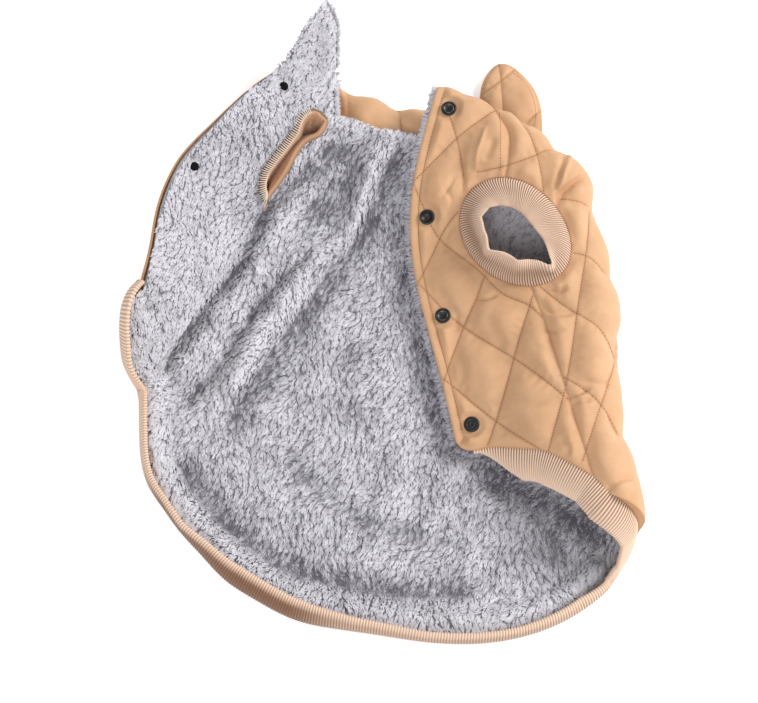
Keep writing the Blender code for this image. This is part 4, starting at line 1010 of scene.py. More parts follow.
# %% The locks of the pile
def scatter(base, panel_name, spacing, keep):
    """Places for locks over a panel: about one in each spacing squared, where keep says so."""
    faces = base.faces[base.panels == panel_name]
    a, b, c = (base.points[faces[:, k]] for k in range(3))
    area = np.linalg.norm(np.cross(b - a, c - a), axis=1) / 2
    wanted = area / spacing**2
    count = np.floor(wanted + rng.random(len(wanted))).astype(int)
    chosen = np.repeat(np.arange(len(faces)), count)
    u, v = rng.random(len(chosen)), rng.random(len(chosen))
    flip = u + v > 1
    u[flip], v[flip] = 1 - u[flip], 1 - v[flip]
    weights = np.column_stack([1 - u - v, u, v])
    corners = faces[chosen]
    spots = (base.points[corners] * weights[:, :, None]).sum(axis=1)
    kept = keep(spots)
    return corners[kept], weights[kept], spots[kept]


def lock_mesh(roots, normals, lean, length, height, width, pull, tone, dark):
    """Tapered bent locks, each a ridge between two slopes: two rings of three points and a tip."""
    count = len(roots)
    sideways = unit(np.cross(normals, lean))
    curl = rng.uniform(-0.35, 0.35, count)[:, None]
    rings = []
    for t, girth in ((0.0, 0.8), (0.55, 1.0)):
        centre = roots + normals * (height * (1 - (1 - t) ** 2))[:, None] + lean * (length * t)[:, None]
        centre = centre + sideways * curl * (length * t**2)[:, None] * 0.5 + pull * t**2
        half = (width * girth / 2)[:, None]
        rings += [centre - sideways * half, centre + normals * half * 0.6, centre + sideways * half]
    tip = roots + normals * (height * 0.9)[:, None] + lean * length[:, None] + pull
    tip = tip + sideways * curl * length[:, None] * 0.6
    points = np.stack(rings + [tip], axis=1)
    offset = (np.arange(count) * 7)[:, None, None]
    quads = (np.array([(0, 1, 4, 3), (1, 2, 5, 4)])[None] + offset).reshape(-1, 4)
    tris = (np.array([(3, 4, 6), (4, 5, 6)])[None] + offset).reshape(-1, 3)
    # Each lock is painted dark at its root and light at its tip, and lighter along its ridge than at its
    # sides: painted shade and highlight.
    along = np.array([0.32, 0.42, 0.32, 0.66, 0.88, 0.66, 1.0])
    pile = along[None] + (rng.uniform(-0.14, 0.1, count) + tone)[:, None]
    # In the hollows the locks are painted darker, most at their roots, as shade.
    pile = np.clip(pile, 0, 1) ** (1 + 1.5 * dark)[:, None] - 0.42 * dark[:, None]
    return points.reshape(-1, 3), quads, tris, np.clip(pile, 0, 1).ravel()


def tufts(plan, heading, long=6.6, wide=2.7):
    """The middle and the number of each lock's tuft, a cell drawn out along the nap, and how far off it is."""
    size = math.sqrt(long * wide)
    low = plan.min(axis=0) - 4 * size
    cell = np.floor((plan - low) / size).astype(int)
    count = cell.max(axis=0) + 4
    centres = np.indices(count).reshape(2, -1).T + rng.uniform(0.1, 0.9, (count.prod(), 2))
    centres = centres * size + low
    best, own = np.full(len(plan), 1e9), np.zeros(len(plan), int)
    c, s = np.cos(heading), np.sin(heading)
    for i in range(-2, 3):
        for j in range(-2, 3):
            k = (cell[:, 0] + i) * count[1] + cell[:, 1] + j
            off = plan - centres[k]
            ahead, aside = off[:, 0] * c + off[:, 1] * s, off[:, 1] * c - off[:, 0] * s
            far = np.hypot(ahead / long, aside / wide)
            closer = far < best
            best[closer], own[closer] = far[closer], k[closer]
    return centres[own], own, best


def pile_piece(name, panel_name, keep, spacing, length_scale=1.0, outward_edge=None, painted_light=0.0, calm=1.0):
    corners, weights, spots = scatter(lining_base, panel_name, spacing, keep)
    wall = (WALL_AT[corners] * weights).sum(axis=1)
    tone, dark, roll = (TONE_AT[corners] * weights[:, :, None]).sum(axis=1).T
    normals = unit((FACING_AT[corners] * weights[:, :, None]).sum(axis=1))
    plan = spots[:, :2]
    count = len(plan)
    heading = math.radians(-112) + 0.55 * ripple(plan, 90.0, 11) + 0.3 * ripple(plan, 26.0, 12)
    centres, own, off_centre = tufts(plan, heading)
    # Each tuft takes a random tone and is painted darker away from its middle, as shade between the tufts.
    tuft_tone = rng.normal(0.05, 0.08, own.max() + 1)[own] - 0.2 * np.minimum(off_centre / 0.6, 1.3) ** 2
    calm = (calm + 0.35 * in_hole(plan, 1.25)) * (1 - 0.45 * roll)
    # The extra lightness given to a fringe is painted light.
    tone = tone - 0.05 + painted_light + tuft_tone * calm
    heading = heading + rng.normal(0, 0.2, own.max() + 1)[own] + rng.normal(0, 0.12, count)
    if outward_edge is not None:
        heading = outward_edge(plan) + rng.normal(0, 0.45, count)
    flat = np.column_stack([np.cos(heading), np.sin(heading), np.zeros(count)])
    lean = unit(flat - normals * np.einsum("ij,ij->i", flat, normals)[:, None])
    pull = np.zeros((count, 3))
    pull[:, :2] = (centres + 1.2 * flat[:, :2] - plan) * 0.5
    pull -= normals * np.einsum("ij,ij->i", pull, normals)[:, None]
    rise = rng.uniform(0.75, 1.15, own.max() + 1)[own]
    height = PILE * rise * rng.uniform(0.7, 1.1, count) * np.clip(wall / LINING_WALL, 0.6, 1.15)
    length = rng.uniform(3.4, 5.4, count) * length_scale * (1 + 0.3 * roll)
    width = rng.uniform(1.2, 1.9, count) * (1 + 0.25 * roll)
    roots = (GROUND_AT[corners] * weights[:, :, None]).sum(axis=1) - normals * 0.6
    if outward_edge is not None:
        layers = unit((lining_base.normals[corners] * weights[:, :, None]).sum(axis=1))
        roots = spots + layers * (SHELL_WALL + rng.uniform(-0.6, 4.6, count))[:, None]
    points, quads, tris, pile = lock_mesh(roots, normals, lean, length, height, width, pull, tone, dark)
    points[:, 2] = np.maximum(points[:, 2], 0.1)
    made = make_piece(name, points, [quads, tris], SHERPA, {"pile": pile})
    return settle(made, [])


# %% Where the pile grows
def from_flap(spots):
    """How far a point lies to the left of the right front's edge."""
    return flap_edge_x(spots[:, 1]) - spots[:, 0]


def open_back(spots):
    low = spots[:, 2] < under(spots[:, 0], spots[:, 1]) + 1.5
    hole = in_hole(spots[:, :2], 1.12)
    seen = (from_flap(spots) > -16) | hole | (spots[:, 1] < -88 - 0.35 * (spots[:, 0] - 60))
    return low & seen


def between(low, high):
    return lambda spots: open_back(spots) & (spots[:, 1] > low) & (spots[:, 1] <= high)


def held_back(spots):
    """Clear of the left front's free edge, where a little of the shell shows, and of the studs in the pile."""
    edges = lining_base.edges
    plan = spots[:, :2]
    kept_clear = np.interp(plan[:, 1], [20, 60, 80, 105, 150, 190, 200], [1.2, 1.2, 1.6, 2.0, 1.9, 2.0, 0.6])
    for spot in BACKS[1:3]:
        clear = 1.2 + 2.2 * ripple(plan, 4.0, 71)
        kept_clear = np.where(np.linalg.norm(plan - spot, axis=1) < clear, 1e3, kept_clear)
    return (distance_to(plan, edges["left_edge"]) > kept_clear) & (distance_to(plan, edges["left_neck"]) > 0.6)


def by_left_tip(spots):
    """Along the free edge of the left front's upper part, where the pile hangs over the shell."""
    plan = spots[:, :2]
    far = np.minimum(*(distance_to(plan, lining_base.edges[key]) for key in ("left_edge", "left_neck")))
    return far < 1.3 * ramp((plan[:, 1] - 196) / 26)


def by_hood(spots):
    """Along the part of the left front's neck edge that lies against the hood."""
    return distance_to(spots[:, :2], lining_base.edges["left_neck"]) < 1.5 * ramp((200 - spots[:, 1]) / 16)


def away_from_left(plan):
    """The direction that leaves the left front at its nearest edge."""
    line = np.vstack([lining_base.edges["left_neck"], lining_base.edges["left_edge"][1:]])[:, :2]
    near = np.argmin(np.linalg.norm(plan[:, None] - line[None], axis=2), axis=1)
    along = np.gradient(line, axis=0)[near]
    return np.arctan2(-along[:, 0], along[:, 1])


def by_flap_edge(spots):
    far = distance_to(spots[:, :2], lining_base.edges["flap_edge"])
    return far < 1.4 + 1.6 * ramp((spots[:, 1] - 96) / 30)


pile_back_1 = pile_piece("pile_back_1", "back", between(10, 400), 1.12)
pile_back_2 = pile_piece("pile_back_2", "back", between(-105, 10), 1.12)
pile_back_3 = pile_piece("pile_back_3", "back", between(-400, -105), 1.12)
pile_left = pile_piece("pile_left", "left", held_back, 1.12, 0.9, None, 0.0, 0.5)
# The fringes along the left front's tip and neck and the right front's edge are painted lighter, as if lit.
pile_left_tip = pile_piece("pile_left_tip", "left", by_left_tip, 0.62, 0.4, away_from_left, 0.2)
pile_left_neck = pile_piece("pile_left_neck", "left", by_hood, 0.62, 0.75, away_from_left, 0.25)
pile_right = pile_piece("pile_right", "right", by_flap_edge, 0.62, 1.05,
                        lambda plan: np.full(len(plan), math.pi), 0.4)


def in_openings(spots):
    """The underside of the upper layer, as far in as it can be seen from the hem and from the neck."""
    raised = spots[:, 2] > under(spots[:, 0], spots[:, 1]) + 1.5
    return raised & ((spots[:, 1] < -84) | (spots[:, 1] > 128))


pile_fold = pile_piece("pile_fold", "back", in_openings, 1.75, 1.1)
pile_under = pile_piece("pile_under", "right", in_openings, 1.75, 1.1)


# %% [markdown]
# The ribbed bands are one strip of rib knit folded along its length, with the fold at the free edge and both
# raw edges caught in the seam. A section bends from the seam to the fold, and the ribs run across the band, a
# rib every 2.1 mm, as a real corrugation.

# %% Ribbed bands
BAND_WALL = 4.5
CUFF_WALL = 3.2
RIB_PITCH = 2.1
RIB_STEP = RIB_PITCH / 7
# columns: run along the hem, width of the band, its direction at the seam and at the fold in degrees
HEM_TURN = np.array(
    [
        (0, 20, 34, 88), (20, 26, 34, 84), (55, 26, 38, 84), (75, 26, 52, 94), (88, 26, 72, 116),
        (102, 26, 80, 124), (133, 26, 84, 120), (208, 26, 82, 112), (263, 26, 80, 158), (318, 26, 78, 156),
        (358, 26, 75, 130), (408, 26, 72, 118), (478, 26, 72, 120), (528, 26, 70, 132), (556, 26, 62, 115),
        (585, 26, 32, 66), (618, 24, 0, 52), (668, 22.5, -8, 46), (705, 25, -6, 38), (730, 24, 0, 36),
        (740, 18.5, 0, 40), (750, 12, 0, 42), (757, 6.5, 0, 42), (763, 2.0, 0, 42),
    ],
    float,
)
# The right cuff's folded edge. columns: degrees round the hole, x, y, height over the cloth
CUFF_RIM = np.array(
    [
        (-177, 79.8, 58.1, 18), (-151, 83.2, 47.6, 19), (-140, 84.1, 41.9, 18), (-120, 92.8, 38.9, 18),
        (-106, 98.1, 35.6, 17), (-90, 105.0, 30.8, 17), (-77, 111.8, 30.5, 16), (-64, 119.1, 30.4, 13),
        (-59, 123.6, 28.5, 12), (-56, 128.3, 25.1, 12), (-52, 130.4, 27.0, 12), (-48, 128.9, 32.7, 11),
        (-40, 127.0, 41.7, 11), (-32, 125.6, 46.8, 11), (5, 118.1, 60.8, 8), (40, 113.6, 68.0, 7),
        (73, 109.1, 73.6, 6), (100, 101.7, 78.4, 6), (120, 92.6, 79.9, 8), (138, 84.4, 78.0, 10),
        (159, 78.2, 70.0, 14),
    ],
    float,
)
CUFF_LEAVES_UP = math.radians(70)
# columns: height over the cloth, direction in degrees at the folded edge, 90 straight up
CUFF_EDGE_TILT = np.array([(6, -14), (12, 8), (20, 40)], float)


def stations(base, line, spacing, closed):
    """Places along an edge at an even spacing, with outward directions and lining side normals averaged."""
    tree = nearest_of(base.points)
    ids = [tree.find(p)[1] for p in line]
    if closed:
        ids = ids + ids[:1]
    run = runs(base.points[ids])
    keep = np.concatenate([[True], np.diff(run) > 1e-6])
    run, ids = run[keep], np.array(ids)[keep]
    count = round(run[-1] / spacing)
    at = np.linspace(0, run[-1], count + 1)
    if closed:
        at = at[:-1]
    read = lambda values: np.column_stack([np.interp(at, run, values[:, k]) for k in range(3)])
    points = read(base.points[ids])
    normals = read(base.normals[ids])
    if closed:
        along = np.roll(points, -1, axis=0) - np.roll(points, 1, axis=0)
    else:
        along = np.gradient(points, axis=0)
    window = int(20 / spacing)
    offsets = np.arange(-window, window + 1)
    weight = bell(offsets * spacing / 9.0)
    weight /= weight.sum()

    def soften(values):
        mode = "wrap" if closed else "edge"
        padded = np.pad(values, ((window, window), (0, 0)), mode=mode)
        return np.column_stack([np.convolve(padded[:, k], weight, "valid") for k in range(3)])

    normals = unit(soften(normals))
    along = unit(soften(unit(along)))
    return at, points, unit(np.cross(along, normals)), normals


def strip_piece(name, at, sections, wall, node, closed, flutes, fading, depth, shade):
    """A folded strip of rib knit: up its outer side, round the fold and back down the inner side.

    sections gives the places at one share of the width and the directions along and across the wall there.
    shade gives how much darker the outer side is painted there, as shade where it is turned from the light.
    """
    side = np.linspace(0, 1, 12)
    fold = np.linspace(-90, 90, 7)[1:-1]
    section = [(share, 1.0, 0.0) for share in side]
    section += [(1.0, -math.sin(math.radians(a)), math.cos(math.radians(a))) for a in fold]
    section += [(share, -1.0, 0.0) for share in side[::-2]]
    crest = 0.5 + 0.5 * np.cos(2 * math.pi * at / RIB_PITCH)
    points, rib = [], []
    for share, sign, tip in section:
        spot, along, across = sections(share)
        relief = depth * (crest - 0.5) * min(1.0, 0.25 + 6 * share) * (1 - 0.35 * share)
        half = wall / 2 * 0.82 + relief
        point = spot + across * (half * sign)[:, None] + along * (half * tip)[:, None]
        if flutes is not None:
            point = point + across * flutes(share)[:, None]
        points.append(point)
        # The furrows between the ribs are painted darker, as shade, less so towards the fold.
        lightness = 1 - (1 - np.clip(crest * 1.2, 0, 1)) * (1 - fading * share**1.3)
        if shade is not None and sign > 0:
            lightness = lightness * (1 - shade(share))
        rib.append(np.clip(lightness, 0, 1))
    points = np.stack(points, axis=1)
    n, m = points.shape[:2]
    points[:, :, 2] = np.maximum(points[:, :, 2], 0.05)
    index = np.arange(n * m).reshape(n, m)
    if closed:
        index = np.vstack([index, index[:1]])
    faces = [grid_quads(index)]
    if name == "rib_hem_left":
        faces.append(np.arange(m)[None])
    made = make_piece(name, points.reshape(-1, 3), faces, KNIT, {"rib": np.stack(rib, axis=1).ravel()})
    settle(made, [node])


def turned_sections(points, outward, inward, turn, wall):
    """Sections of a strip that bends evenly from its direction at the seam to its direction at the fold."""
    width, start, end = turn[:, 0], turn[:, 1], turn[:, 2]
    bend = np.where(np.abs(end - start) < 1e-4, 1e-4, end - start)
    seat = (wall / 2 * np.abs(np.sin(start)) - 0.15)[:, None] * outward + (0.4 + wall / 2) * inward
    reach = width - wall * 0.35

    def section(share):
        angle = start + bend * share
        out = reach / bend * (np.sin(angle) - np.sin(start))
        up = reach / bend * (np.cos(start) - np.cos(angle))
        along = outward * np.cos(angle)[:, None] + inward * np.sin(angle)[:, None]
        across = outward * np.sin(angle)[:, None] - inward * np.cos(angle)[:, None]
        return points + seat + outward * out[:, None] + inward * up[:, None], along, across

    return section


def standing_sections(seam, rim, leaves, arrives, side):
    """Sections of a strip that leaves its seam and reaches its folded edge in given directions."""
    reach = np.linalg.norm(rim - seam, axis=1)[:, None]
    first = seam + leaves * reach * 0.45
    last = rim - arrives * reach * 0.38

    def section(share):
        t, u = share, 1 - share
        spot = u**3 * seam + 3 * u * u * t * first + 3 * u * t * t * last + t**3 * rim
        along = unit(u * u * (first - seam) + 2 * u * t * (last - first) + t * t * (rim - last))
        return spot, along, unit(np.cross(along, side))

    return section


# %% The hem band
e = shell_base.edges
chain = [on_chart(e["left_hem"], under), on_chart(e["back_hem"], under)[1:], e["rolled"][-1, 1:],
         on_chart(e["strip_hem"], over)[::-1][1:], on_chart(e["flap_hem"], over)[::-1][1:]]
at, points, outward, normals = stations(shell_base, np.vstack(chain), RIB_STEP, False)
left_end = runs(chain[0])[-1]
side_end = runs(np.vstack(chain[:4]))[-1]
turn = np.column_stack([np.interp(at, HEM_TURN[:, 0], HEM_TURN[:, k]) for k in (1, 2, 3)])
turn[:, 1:] = np.radians(turn[:, 1:])
# Painted shade on the outer side of the band along the bottom and the lower left, where it is turned from the
# light.
turned_away = 0.5 * ramp((at - 150) / 40) * ramp((355 - at) / 50)
turned_away += 0.38 * ramp((at - 120) / 60) * ramp((590 - at) / 130)
# columns: name, start and end along the hem, fading of the ribs towards the fold, depth of the ribs
for name, start, end, fading, depth in (
    ("left", 0.3, left_end, 0.5, 0.6),
    ("back", left_end, side_end, 0.5, 0.6),
    ("right", side_end, at[-1] - 17, 0.95, 0.38),
):
    own = (at > start - 0.25) & (at < end + 0.25)
    shade = (lambda share, dim=turned_away[own]: dim * ramp((1.0 - share) / 0.22)) if name == "back" else None
    sections = turned_sections(points[own], outward[own], normals[own], turn[own], BAND_WALL)
    strip_piece("rib_hem_" + name, at[own], sections, BAND_WALL, "hem_band_" + name, False, None,
                fading, depth, shade)

# %% The right cuff
ring = np.vstack([e["hole_front"], e["hole_back"][1:-1]])
at, points, outward, normals = stations(shell_base, on_chart(ring, over), RIB_STEP, True)
up = -normals
around = np.degrees(np.arctan2(*(points[:, :2] - HOLE_CENTRE).T[::-1]))
x, y, height = (np.interp(around, CUFF_RIM[:, 0], CUFF_RIM[:, k], period=360) for k in (1, 2, 3))


def softened(values, reach):
    """A closed run of values averaged over a short reach of their neighbours."""
    offsets = np.arange(-3 * reach, 3 * reach + 1)
    weight = bell(offsets / reach)
    padded = np.concatenate([values[-3 * reach:], values, values[:3 * reach]])
    return np.convolve(padded, weight / weight.sum(), "valid")


x, y, height = (softened(values, 7) for values in (x, y, height))
rim = np.column_stack([x, y, over(x, y) + height])
tilt = np.radians(np.interp(height, CUFF_EDGE_TILT[:, 0], CUFF_EDGE_TILT[:, 1]))[:, None]
seam = points + outward * (CUFF_WALL / 2 - 0.45) - up * CUFF_WALL / 2
leaves = outward * math.cos(CUFF_LEAVES_UP) + up * math.sin(CUFF_LEAVES_UP)
level = unit(rim - seam - up * np.einsum("ij,ij->i", rim - seam, up)[:, None])
arrives = level * np.cos(tilt) + up * np.sin(tilt)
at = at * (round(at[-1] / RIB_PITCH) * RIB_PITCH / (at[-1] + at[1]))
sections = standing_sections(seam, rim, leaves, arrives, unit(np.cross(up, level)))
around = (around + 360) % 360
waves = 0.9 * np.sin(at / 6.2 + 1.3 * np.sin(at / 23.0)) * ramp((height - 8) / 8)
waves += 0.5 * np.sin(at / 3.9) * np.sin(at / 17.0)
waist = 3.4 * bell((around - 195) / 50) + 1.8 * bell((around - 285) / 30) + 1.6 * bell((around - 105) / 30)


def flutes(share):
    """How far the cuff's wall stands out. It waves towards the fold and sinks in half way up its tall side."""
    return waves * share**1.5 - waist * bell((share - 0.55) / 0.24)


# Painted shade on the cuff's outer wall, most on its left side and at its bottom, which are turned from the
# light; the wall is also a little darker all round.
dim = 0.12 + 0.42 * bell((around - 190) / 55) + 0.3 * bell((around - 290) / 30)
strip_piece("rib_cuff_right", at, sections, CUFF_WALL, "cuff_right", True, flutes, 0.6, 0.7,
            lambda share: dim * bell((share - 0.5) / 0.26))

# %% [markdown]
# The left cuff is the same rib, but here it hangs down through the leg hole of the left front, so only its
# mouth shows: a slit with an overlocked seam allowance along one side and the inside of the rib tube in it.

# %% Left cuff
LEFT_CUFF_WALL = 2.2
ring = np.vstack([e["slit_front"], e["slit_back"][::-1][1:-1]])
at, points, outward, normals = stations(shell_base, on_chart(ring, under), RIB_STEP, True)
plan = points[:, :2]
if np.mean(np.einsum("ij,ij->i", outward[:, :2], plan.mean(axis=0) - plan)) < 0:
    outward = -outward
at = at * (round(at[-1] / RIB_PITCH) * RIB_PITCH / (at[-1] + at[1]))
crest = np.cos(2 * math.pi * at / RIB_PITCH)
front_side, back_side = (trace(line, 2.0) for line in (SLIT_FRONT_SIDE, SLIT_BACK_SIDE))
to_front, to_back = distance_to(plan, front_side), distance_to(plan, back_side)
front = ramp(0.5 + (to_back - to_front) / 6)
drawn_in = 0.6 + 3.4 * front * ramp(to_back / 8) * (0.3 + 0.7 * ramp((plan[:, 1] - 104) / 25))
drawn_in *= 0.35 + 0.65 * ramp((162 - plan[:, 1]) / 12)
rim = points + outward * drawn_in[:, None]
rim = rim + normals * (SHELL_WALL + LAYER_GAP + LINING_WALL + 2.0 + 0.5 * np.sin(at / 6.0))[:, None]
into = (np.minimum(0.2 * to_back, 3.0) + 3.0 * ramp((to_back - 11) / 6)) * front
into += np.minimum(0.42 * to_front, 6.0) * (1 - front)
bend = points + outward * (drawn_in + into)[:, None] - normals * 2.2
share = np.linspace(0, 1, 40)
even = [np.column_stack([np.interp(share, np.linspace(0, 1, len(line)), line[:, k]) for k in range(2)])
        for line in (front_side, back_side)]
deepest = 0.42 * even[0] + 0.58 * even[1]
nearest = np.argmin(np.linalg.norm(plan[:, None] - deepest[None], axis=2), axis=1)
foot = np.column_stack([deepest[nearest] + (plan - deepest[nearest]) * 0.03, points[:, 2] * 0.45])
# Inside the tube light and shade are painted: a lit patch at the low end, a shadow at the high end, the deep
# rows dark, the front wall lighter and the back wall darker.
lit_low_end = bell(np.linalg.norm(plan - (-90.0, 106.0), axis=1) / 13) * front
shaded_high_end = ramp((plan[:, 1] - 128) / 18) * (1 - front)
rows, tones = [], []
for share in (1.0, 0.5, 0.0):
    rows.append(bend + (foot - bend) * share)
    tones.append(np.full(len(at), 0.3))
allowance = 4.4 * front * ramp(to_back / 3) * (0.4 + 0.6 * ramp((160 - plan[:, 1]) / 10)) + 1.7 * (1 - front)
allowance = allowance[:, None]
fallen = (0.4 + 1.2 * (1 - front))[:, None]
rows += [rim + (bend - rim) * 0.5, rim - outward * allowance - normals * fallen, rim + normals * 0.2]
rows += [rim + outward * LEFT_CUFF_WALL / 2 + normals * 0.9]
tones += [np.full(len(at), 0.3), 0.1 + 0.25 * (1 - front), 0.3 + 0.25 * (1 - front), 0.6 + 0.25 * front]
lip = rows[-1]
for share in np.linspace(0, 1, 27):
    cord = (1 - front) * np.cos(2 * math.pi * share * 5.5)
    inner = rim + (bend - rim) * share + outward * (LEFT_CUFF_WALL + 0.12 * crest + 0.55 * cord)[:, None]
    rows.append(inner)
    # The back wall's cords are painted with darker furrows, as shade.
    inner_tone = (0.7 * cord - 0.15 * (1 - front) - 0.7 * shaded_high_end) * ramp(share / 0.25)
    tones.append(0.5 + 0.45 * front + 0.08 * crest * front + inner_tone + 0.6 * lit_low_end)
for share in np.linspace(0.25, 1, 4):
    rows.append(inner + (foot - inner) * share - np.array((0, 0, 0.4 * share)))
    tones.append(0.35 + 0.3 * front - 0.35 * shaded_high_end)
points = np.stack(rows, axis=1)
points[:, :, 2] = np.maximum(points[:, :, 2], 0.05)
n, m = points.shape[:2]
index = np.arange(n * m).reshape(n, m)
index = np.vstack([index, index[:1]])
cuff_left = make_piece("rib_cuff_left", points.reshape(-1, 3), [grid_quads(index)], SHADED_KNIT_INSIDE,
                       {"rib": np.clip(np.stack(tones, axis=1), 0, 1).ravel()})
settle(cuff_left, ["cuff_left"])

# %% [markdown]
# Thread. The quilting is lockstitch about 3.2 mm long that sinks into the cloth at both ends. Each stitch is
# a short bowed length of thread laid on the finished surface, and the overlocking round the left leg hole is
# a zigzag of paler thread that wraps over the edge.

# %% Stitches
BOW = np.array((-0.08, 0.2, -0.08))
NUDGE = 0.5


def surface_tree(piece):
    mesh = piece.data
    places = np.empty(len(mesh.vertices) * 3)
    mesh.vertices.foreach_get("co", places)
    return BVHTree.FromPolygons(places.reshape(-1, 3).tolist(), [tuple(p.vertices) for p in mesh.polygons])


def lay_on(tree, points, normals, reach=0.02):
    """Points in millimetres moved along their normals onto a finished surface, or None where they miss it."""
    laid = []
    for point, normal in zip((points - CENTRE) * MM, normals):
        hit = tree.ray_cast(Vector(point + normal * 0.008), Vector(-normal), reach)[0]
        laid.append(None if hit is None else np.array(hit) / MM + CENTRE)
    return laid


def tube(path, radius, sides=4):
    """Rings of points round a path with a radius at each of its points."""
    along = unit(np.gradient(path, axis=0))
    up = np.tile((0.0, 0.0, 1.0), (len(path), 1))
    across = unit(np.cross(along, up) + 1e-6)
    over_it = np.cross(across, along)
    rings = []
    for k in range(sides):
        angle = 2 * math.pi * k / sides
        outward = across * math.cos(angle) + over_it * math.sin(angle)
        rings.append(path + outward * np.asarray(radius)[:, None])
    return np.stack(rings, axis=1)


def ring_quads(rows):
    """The side of a tube whose rows of point numbers are closed rings."""
    after = np.roll(rows, -1, axis=1)
    return np.stack([rows[:-1], after[:-1], after[1:], rows[1:]], -1).reshape(-1, 4)


def thread_piece(name, paths, radius, finish, sides=4):
    points, quads = [], []
    start = 0
    for path in paths:
        count = len(path)
        taper = np.full(count, radius)
        taper[[0, -1]] = radius * 0.55
        points.append(tube(path, taper, sides).reshape(-1, 3))
        quads.append(ring_quads(start + np.arange(count * sides).reshape(count, sides)))
        start += count * sides
    return settle(make_piece(name, np.vstack(points), [np.vstack(quads)], finish), [])


def stitches_along(line, height, tree, outside=-1.0, length=1.35, gap=0.8, skip=None):
    """Single stitches along a line in plan, each bowed a little out of the surface."""
    line = trace(line, 0.5)
    run = runs(line)
    count = int(run[-1] / (length + gap))
    paths = []
    for k in range(count):
        begin = k * (length + gap) + gap / 2
        at = np.linspace(begin, begin + length, 3)
        plan = np.column_stack([np.interp(at, run, line[:, j]) for j in range(2)])
        spots = on_chart(plan, height)
        slope_x = height(plan[:, 0] + NUDGE, plan[:, 1]) - height(plan[:, 0] - NUDGE, plan[:, 1])
        slope_y = height(plan[:, 0], plan[:, 1] + NUDGE) - height(plan[:, 0], plan[:, 1] - NUDGE)
        facing = unit(np.column_stack([-slope_x, -slope_y, np.full(3, 2 * NUDGE)])) * -outside
        laid = lay_on(tree, spots, facing)
        if any(p is None for p in laid) or (skip is not None and skip(plan)):
            continue
        paths.append(np.array(laid) + facing * BOW[:, None])
    return paths


def off_the_panel(plan):
    """Whether a stitch falls off the right front and its strip, onto the cuff or past an edge."""
    near_hole = in_hole(plan, 1.03).any()
    past = np.min(plan[:, 0] - flap_edge_x(plan[:, 1])) < 1.2
    return near_hole or past


# %% Stitches of the shell
back_tree = surface_tree(shell_back)
right_tree = surface_tree(shell_right)
left_tree = surface_tree(shell_left)
paths, fine_paths = [], []
for tree in (right_tree, back_tree):
    for line in RISING_LINES:
        paths += stitches_along(line, over, tree, skip=off_the_panel)
    for line in FALLING_LINES:
        fine_paths += stitches_along(line, over, tree, length=2.6, gap=0.4, skip=off_the_panel)
placket = trace(FLAP_EDGE, 2.0)
sideways = unit(np.gradient(placket, axis=0))
placket = placket + PLACKET_WIDTH * np.column_stack([-sideways[:, 1], sideways[:, 0]])
paths += stitches_along(placket[4:-3], over, right_tree, skip=off_the_panel)
for tree in (right_tree, back_tree):
    paths += stitches_along([(95, 157), (95.5, 132), (94.4, 106)], over, tree, skip=off_the_panel)
thread_piece("stitching_right", paths, 0.27, THREAD)
thread_piece("stitching_fine", fine_paths, 0.17, THREAD)

panel_loop = outline(e, LEFT_OUTLINE)
paths = []
for family in left_quilt_lines():
    for line in family:
        paths += stitches_along(line, under, left_tree, outside=1.0, length=2.4,
                                skip=lambda plan: not inside(plan, panel_loop).all())
thread_piece("stitching_left", paths, 0.27, THREAD)

# %% Overlocking round the left leg hole
WRAP_PITCH = 1.75
wraps, edge_wraps = [], []
pick = 0.0
while pick < (len(lip) - 8) * RIB_STEP:
    k, j = int(pick / RIB_STEP), int((pick + 0.5) / RIB_STEP)
    inside_edge = rim[j] + outward[j] * (LEFT_CUFF_WALL + 0.35) - normals[j] * 0.4
    if front[k] > 0.5 and plan[k, 0] < -56:
        reach = 4.8 + 0.6 * math.sin(pick * 2.3)
        far = rim[k] - outward[k] * reach + normals[k] * 0.5
        half_way = rim[k] - outward[k] * reach * 0.5 + normals[k] * 1.1
        wraps.append(np.array([far, half_way, lip[j] + normals[j] * 0.35, inside_edge]))
    else:
        outside_edge = rim[k] - outward[k] * 0.3 - normals[k] * 0.8
        edge_wraps.append(np.array([outside_edge, lip[j] + normals[j] * 0.3, inside_edge]))
    pick += WRAP_PITCH
tail = np.array([(-88.0, 99.0), (-88.6, 95.0), (-87.6, 91.0), (-88.8, 86.5)])
edge_wraps += [np.column_stack([tail + (shift, 0), under(*tail.T) + 14.5]) for shift in (0.0, 1.1)]
thread_piece("overlock_left", wraps, 0.36, PALE_THREAD)
thread_piece("edge_stitches_left", edge_wraps, 0.3, TAN_THREAD)

# %% [markdown]
# The hood is folded away under the back, so only a strip of it shows behind the neck, gathered where it is
# sewn to the neckline. The ear stands out from it: two quilted rounds sewn face to face and turned, so it is
# fullest in the middle and thin at the edge seam.

# %% Hood and ear
HOOD_FRONT = [(-30, 176), (-34, 190), (-33, 198), (-24, 193), (-13, 190), (4, 185.5), (17, 177.5), (24, 178.5)]
HOOD_FRONT += [(36, 178), (60, 176), (78, 179), (88.2, 180.2), (101.3, 169.8), (118.3, 156.3), (128, 151.6)]
HOOD_FRONT += [(128, 140)]
HOOD_BACK = [(128, 140), (122, 112), (92, 84), (40, 76), (-4, 84), (-24, 104), (-27, 130), (-28, 155)]
HOOD_BACK += [(-30, 176)]
HOOD_NOTCHES = [[(-24, 196), (-22, 160)], [(17, 182), (20, 150)], [(58, 180), (58, 150)]]
EAR_OUTLINE = [(84, 192), (86.5, 205), (92.5, 216), (100, 222.5), (108, 222), (118, 214.5), (126.5, 204)]
EAR_OUTLINE += [(132.5, 191), (134.5, 178), (134.5, 163), (131, 150), (118, 156), (101, 169.5), (88, 180)]
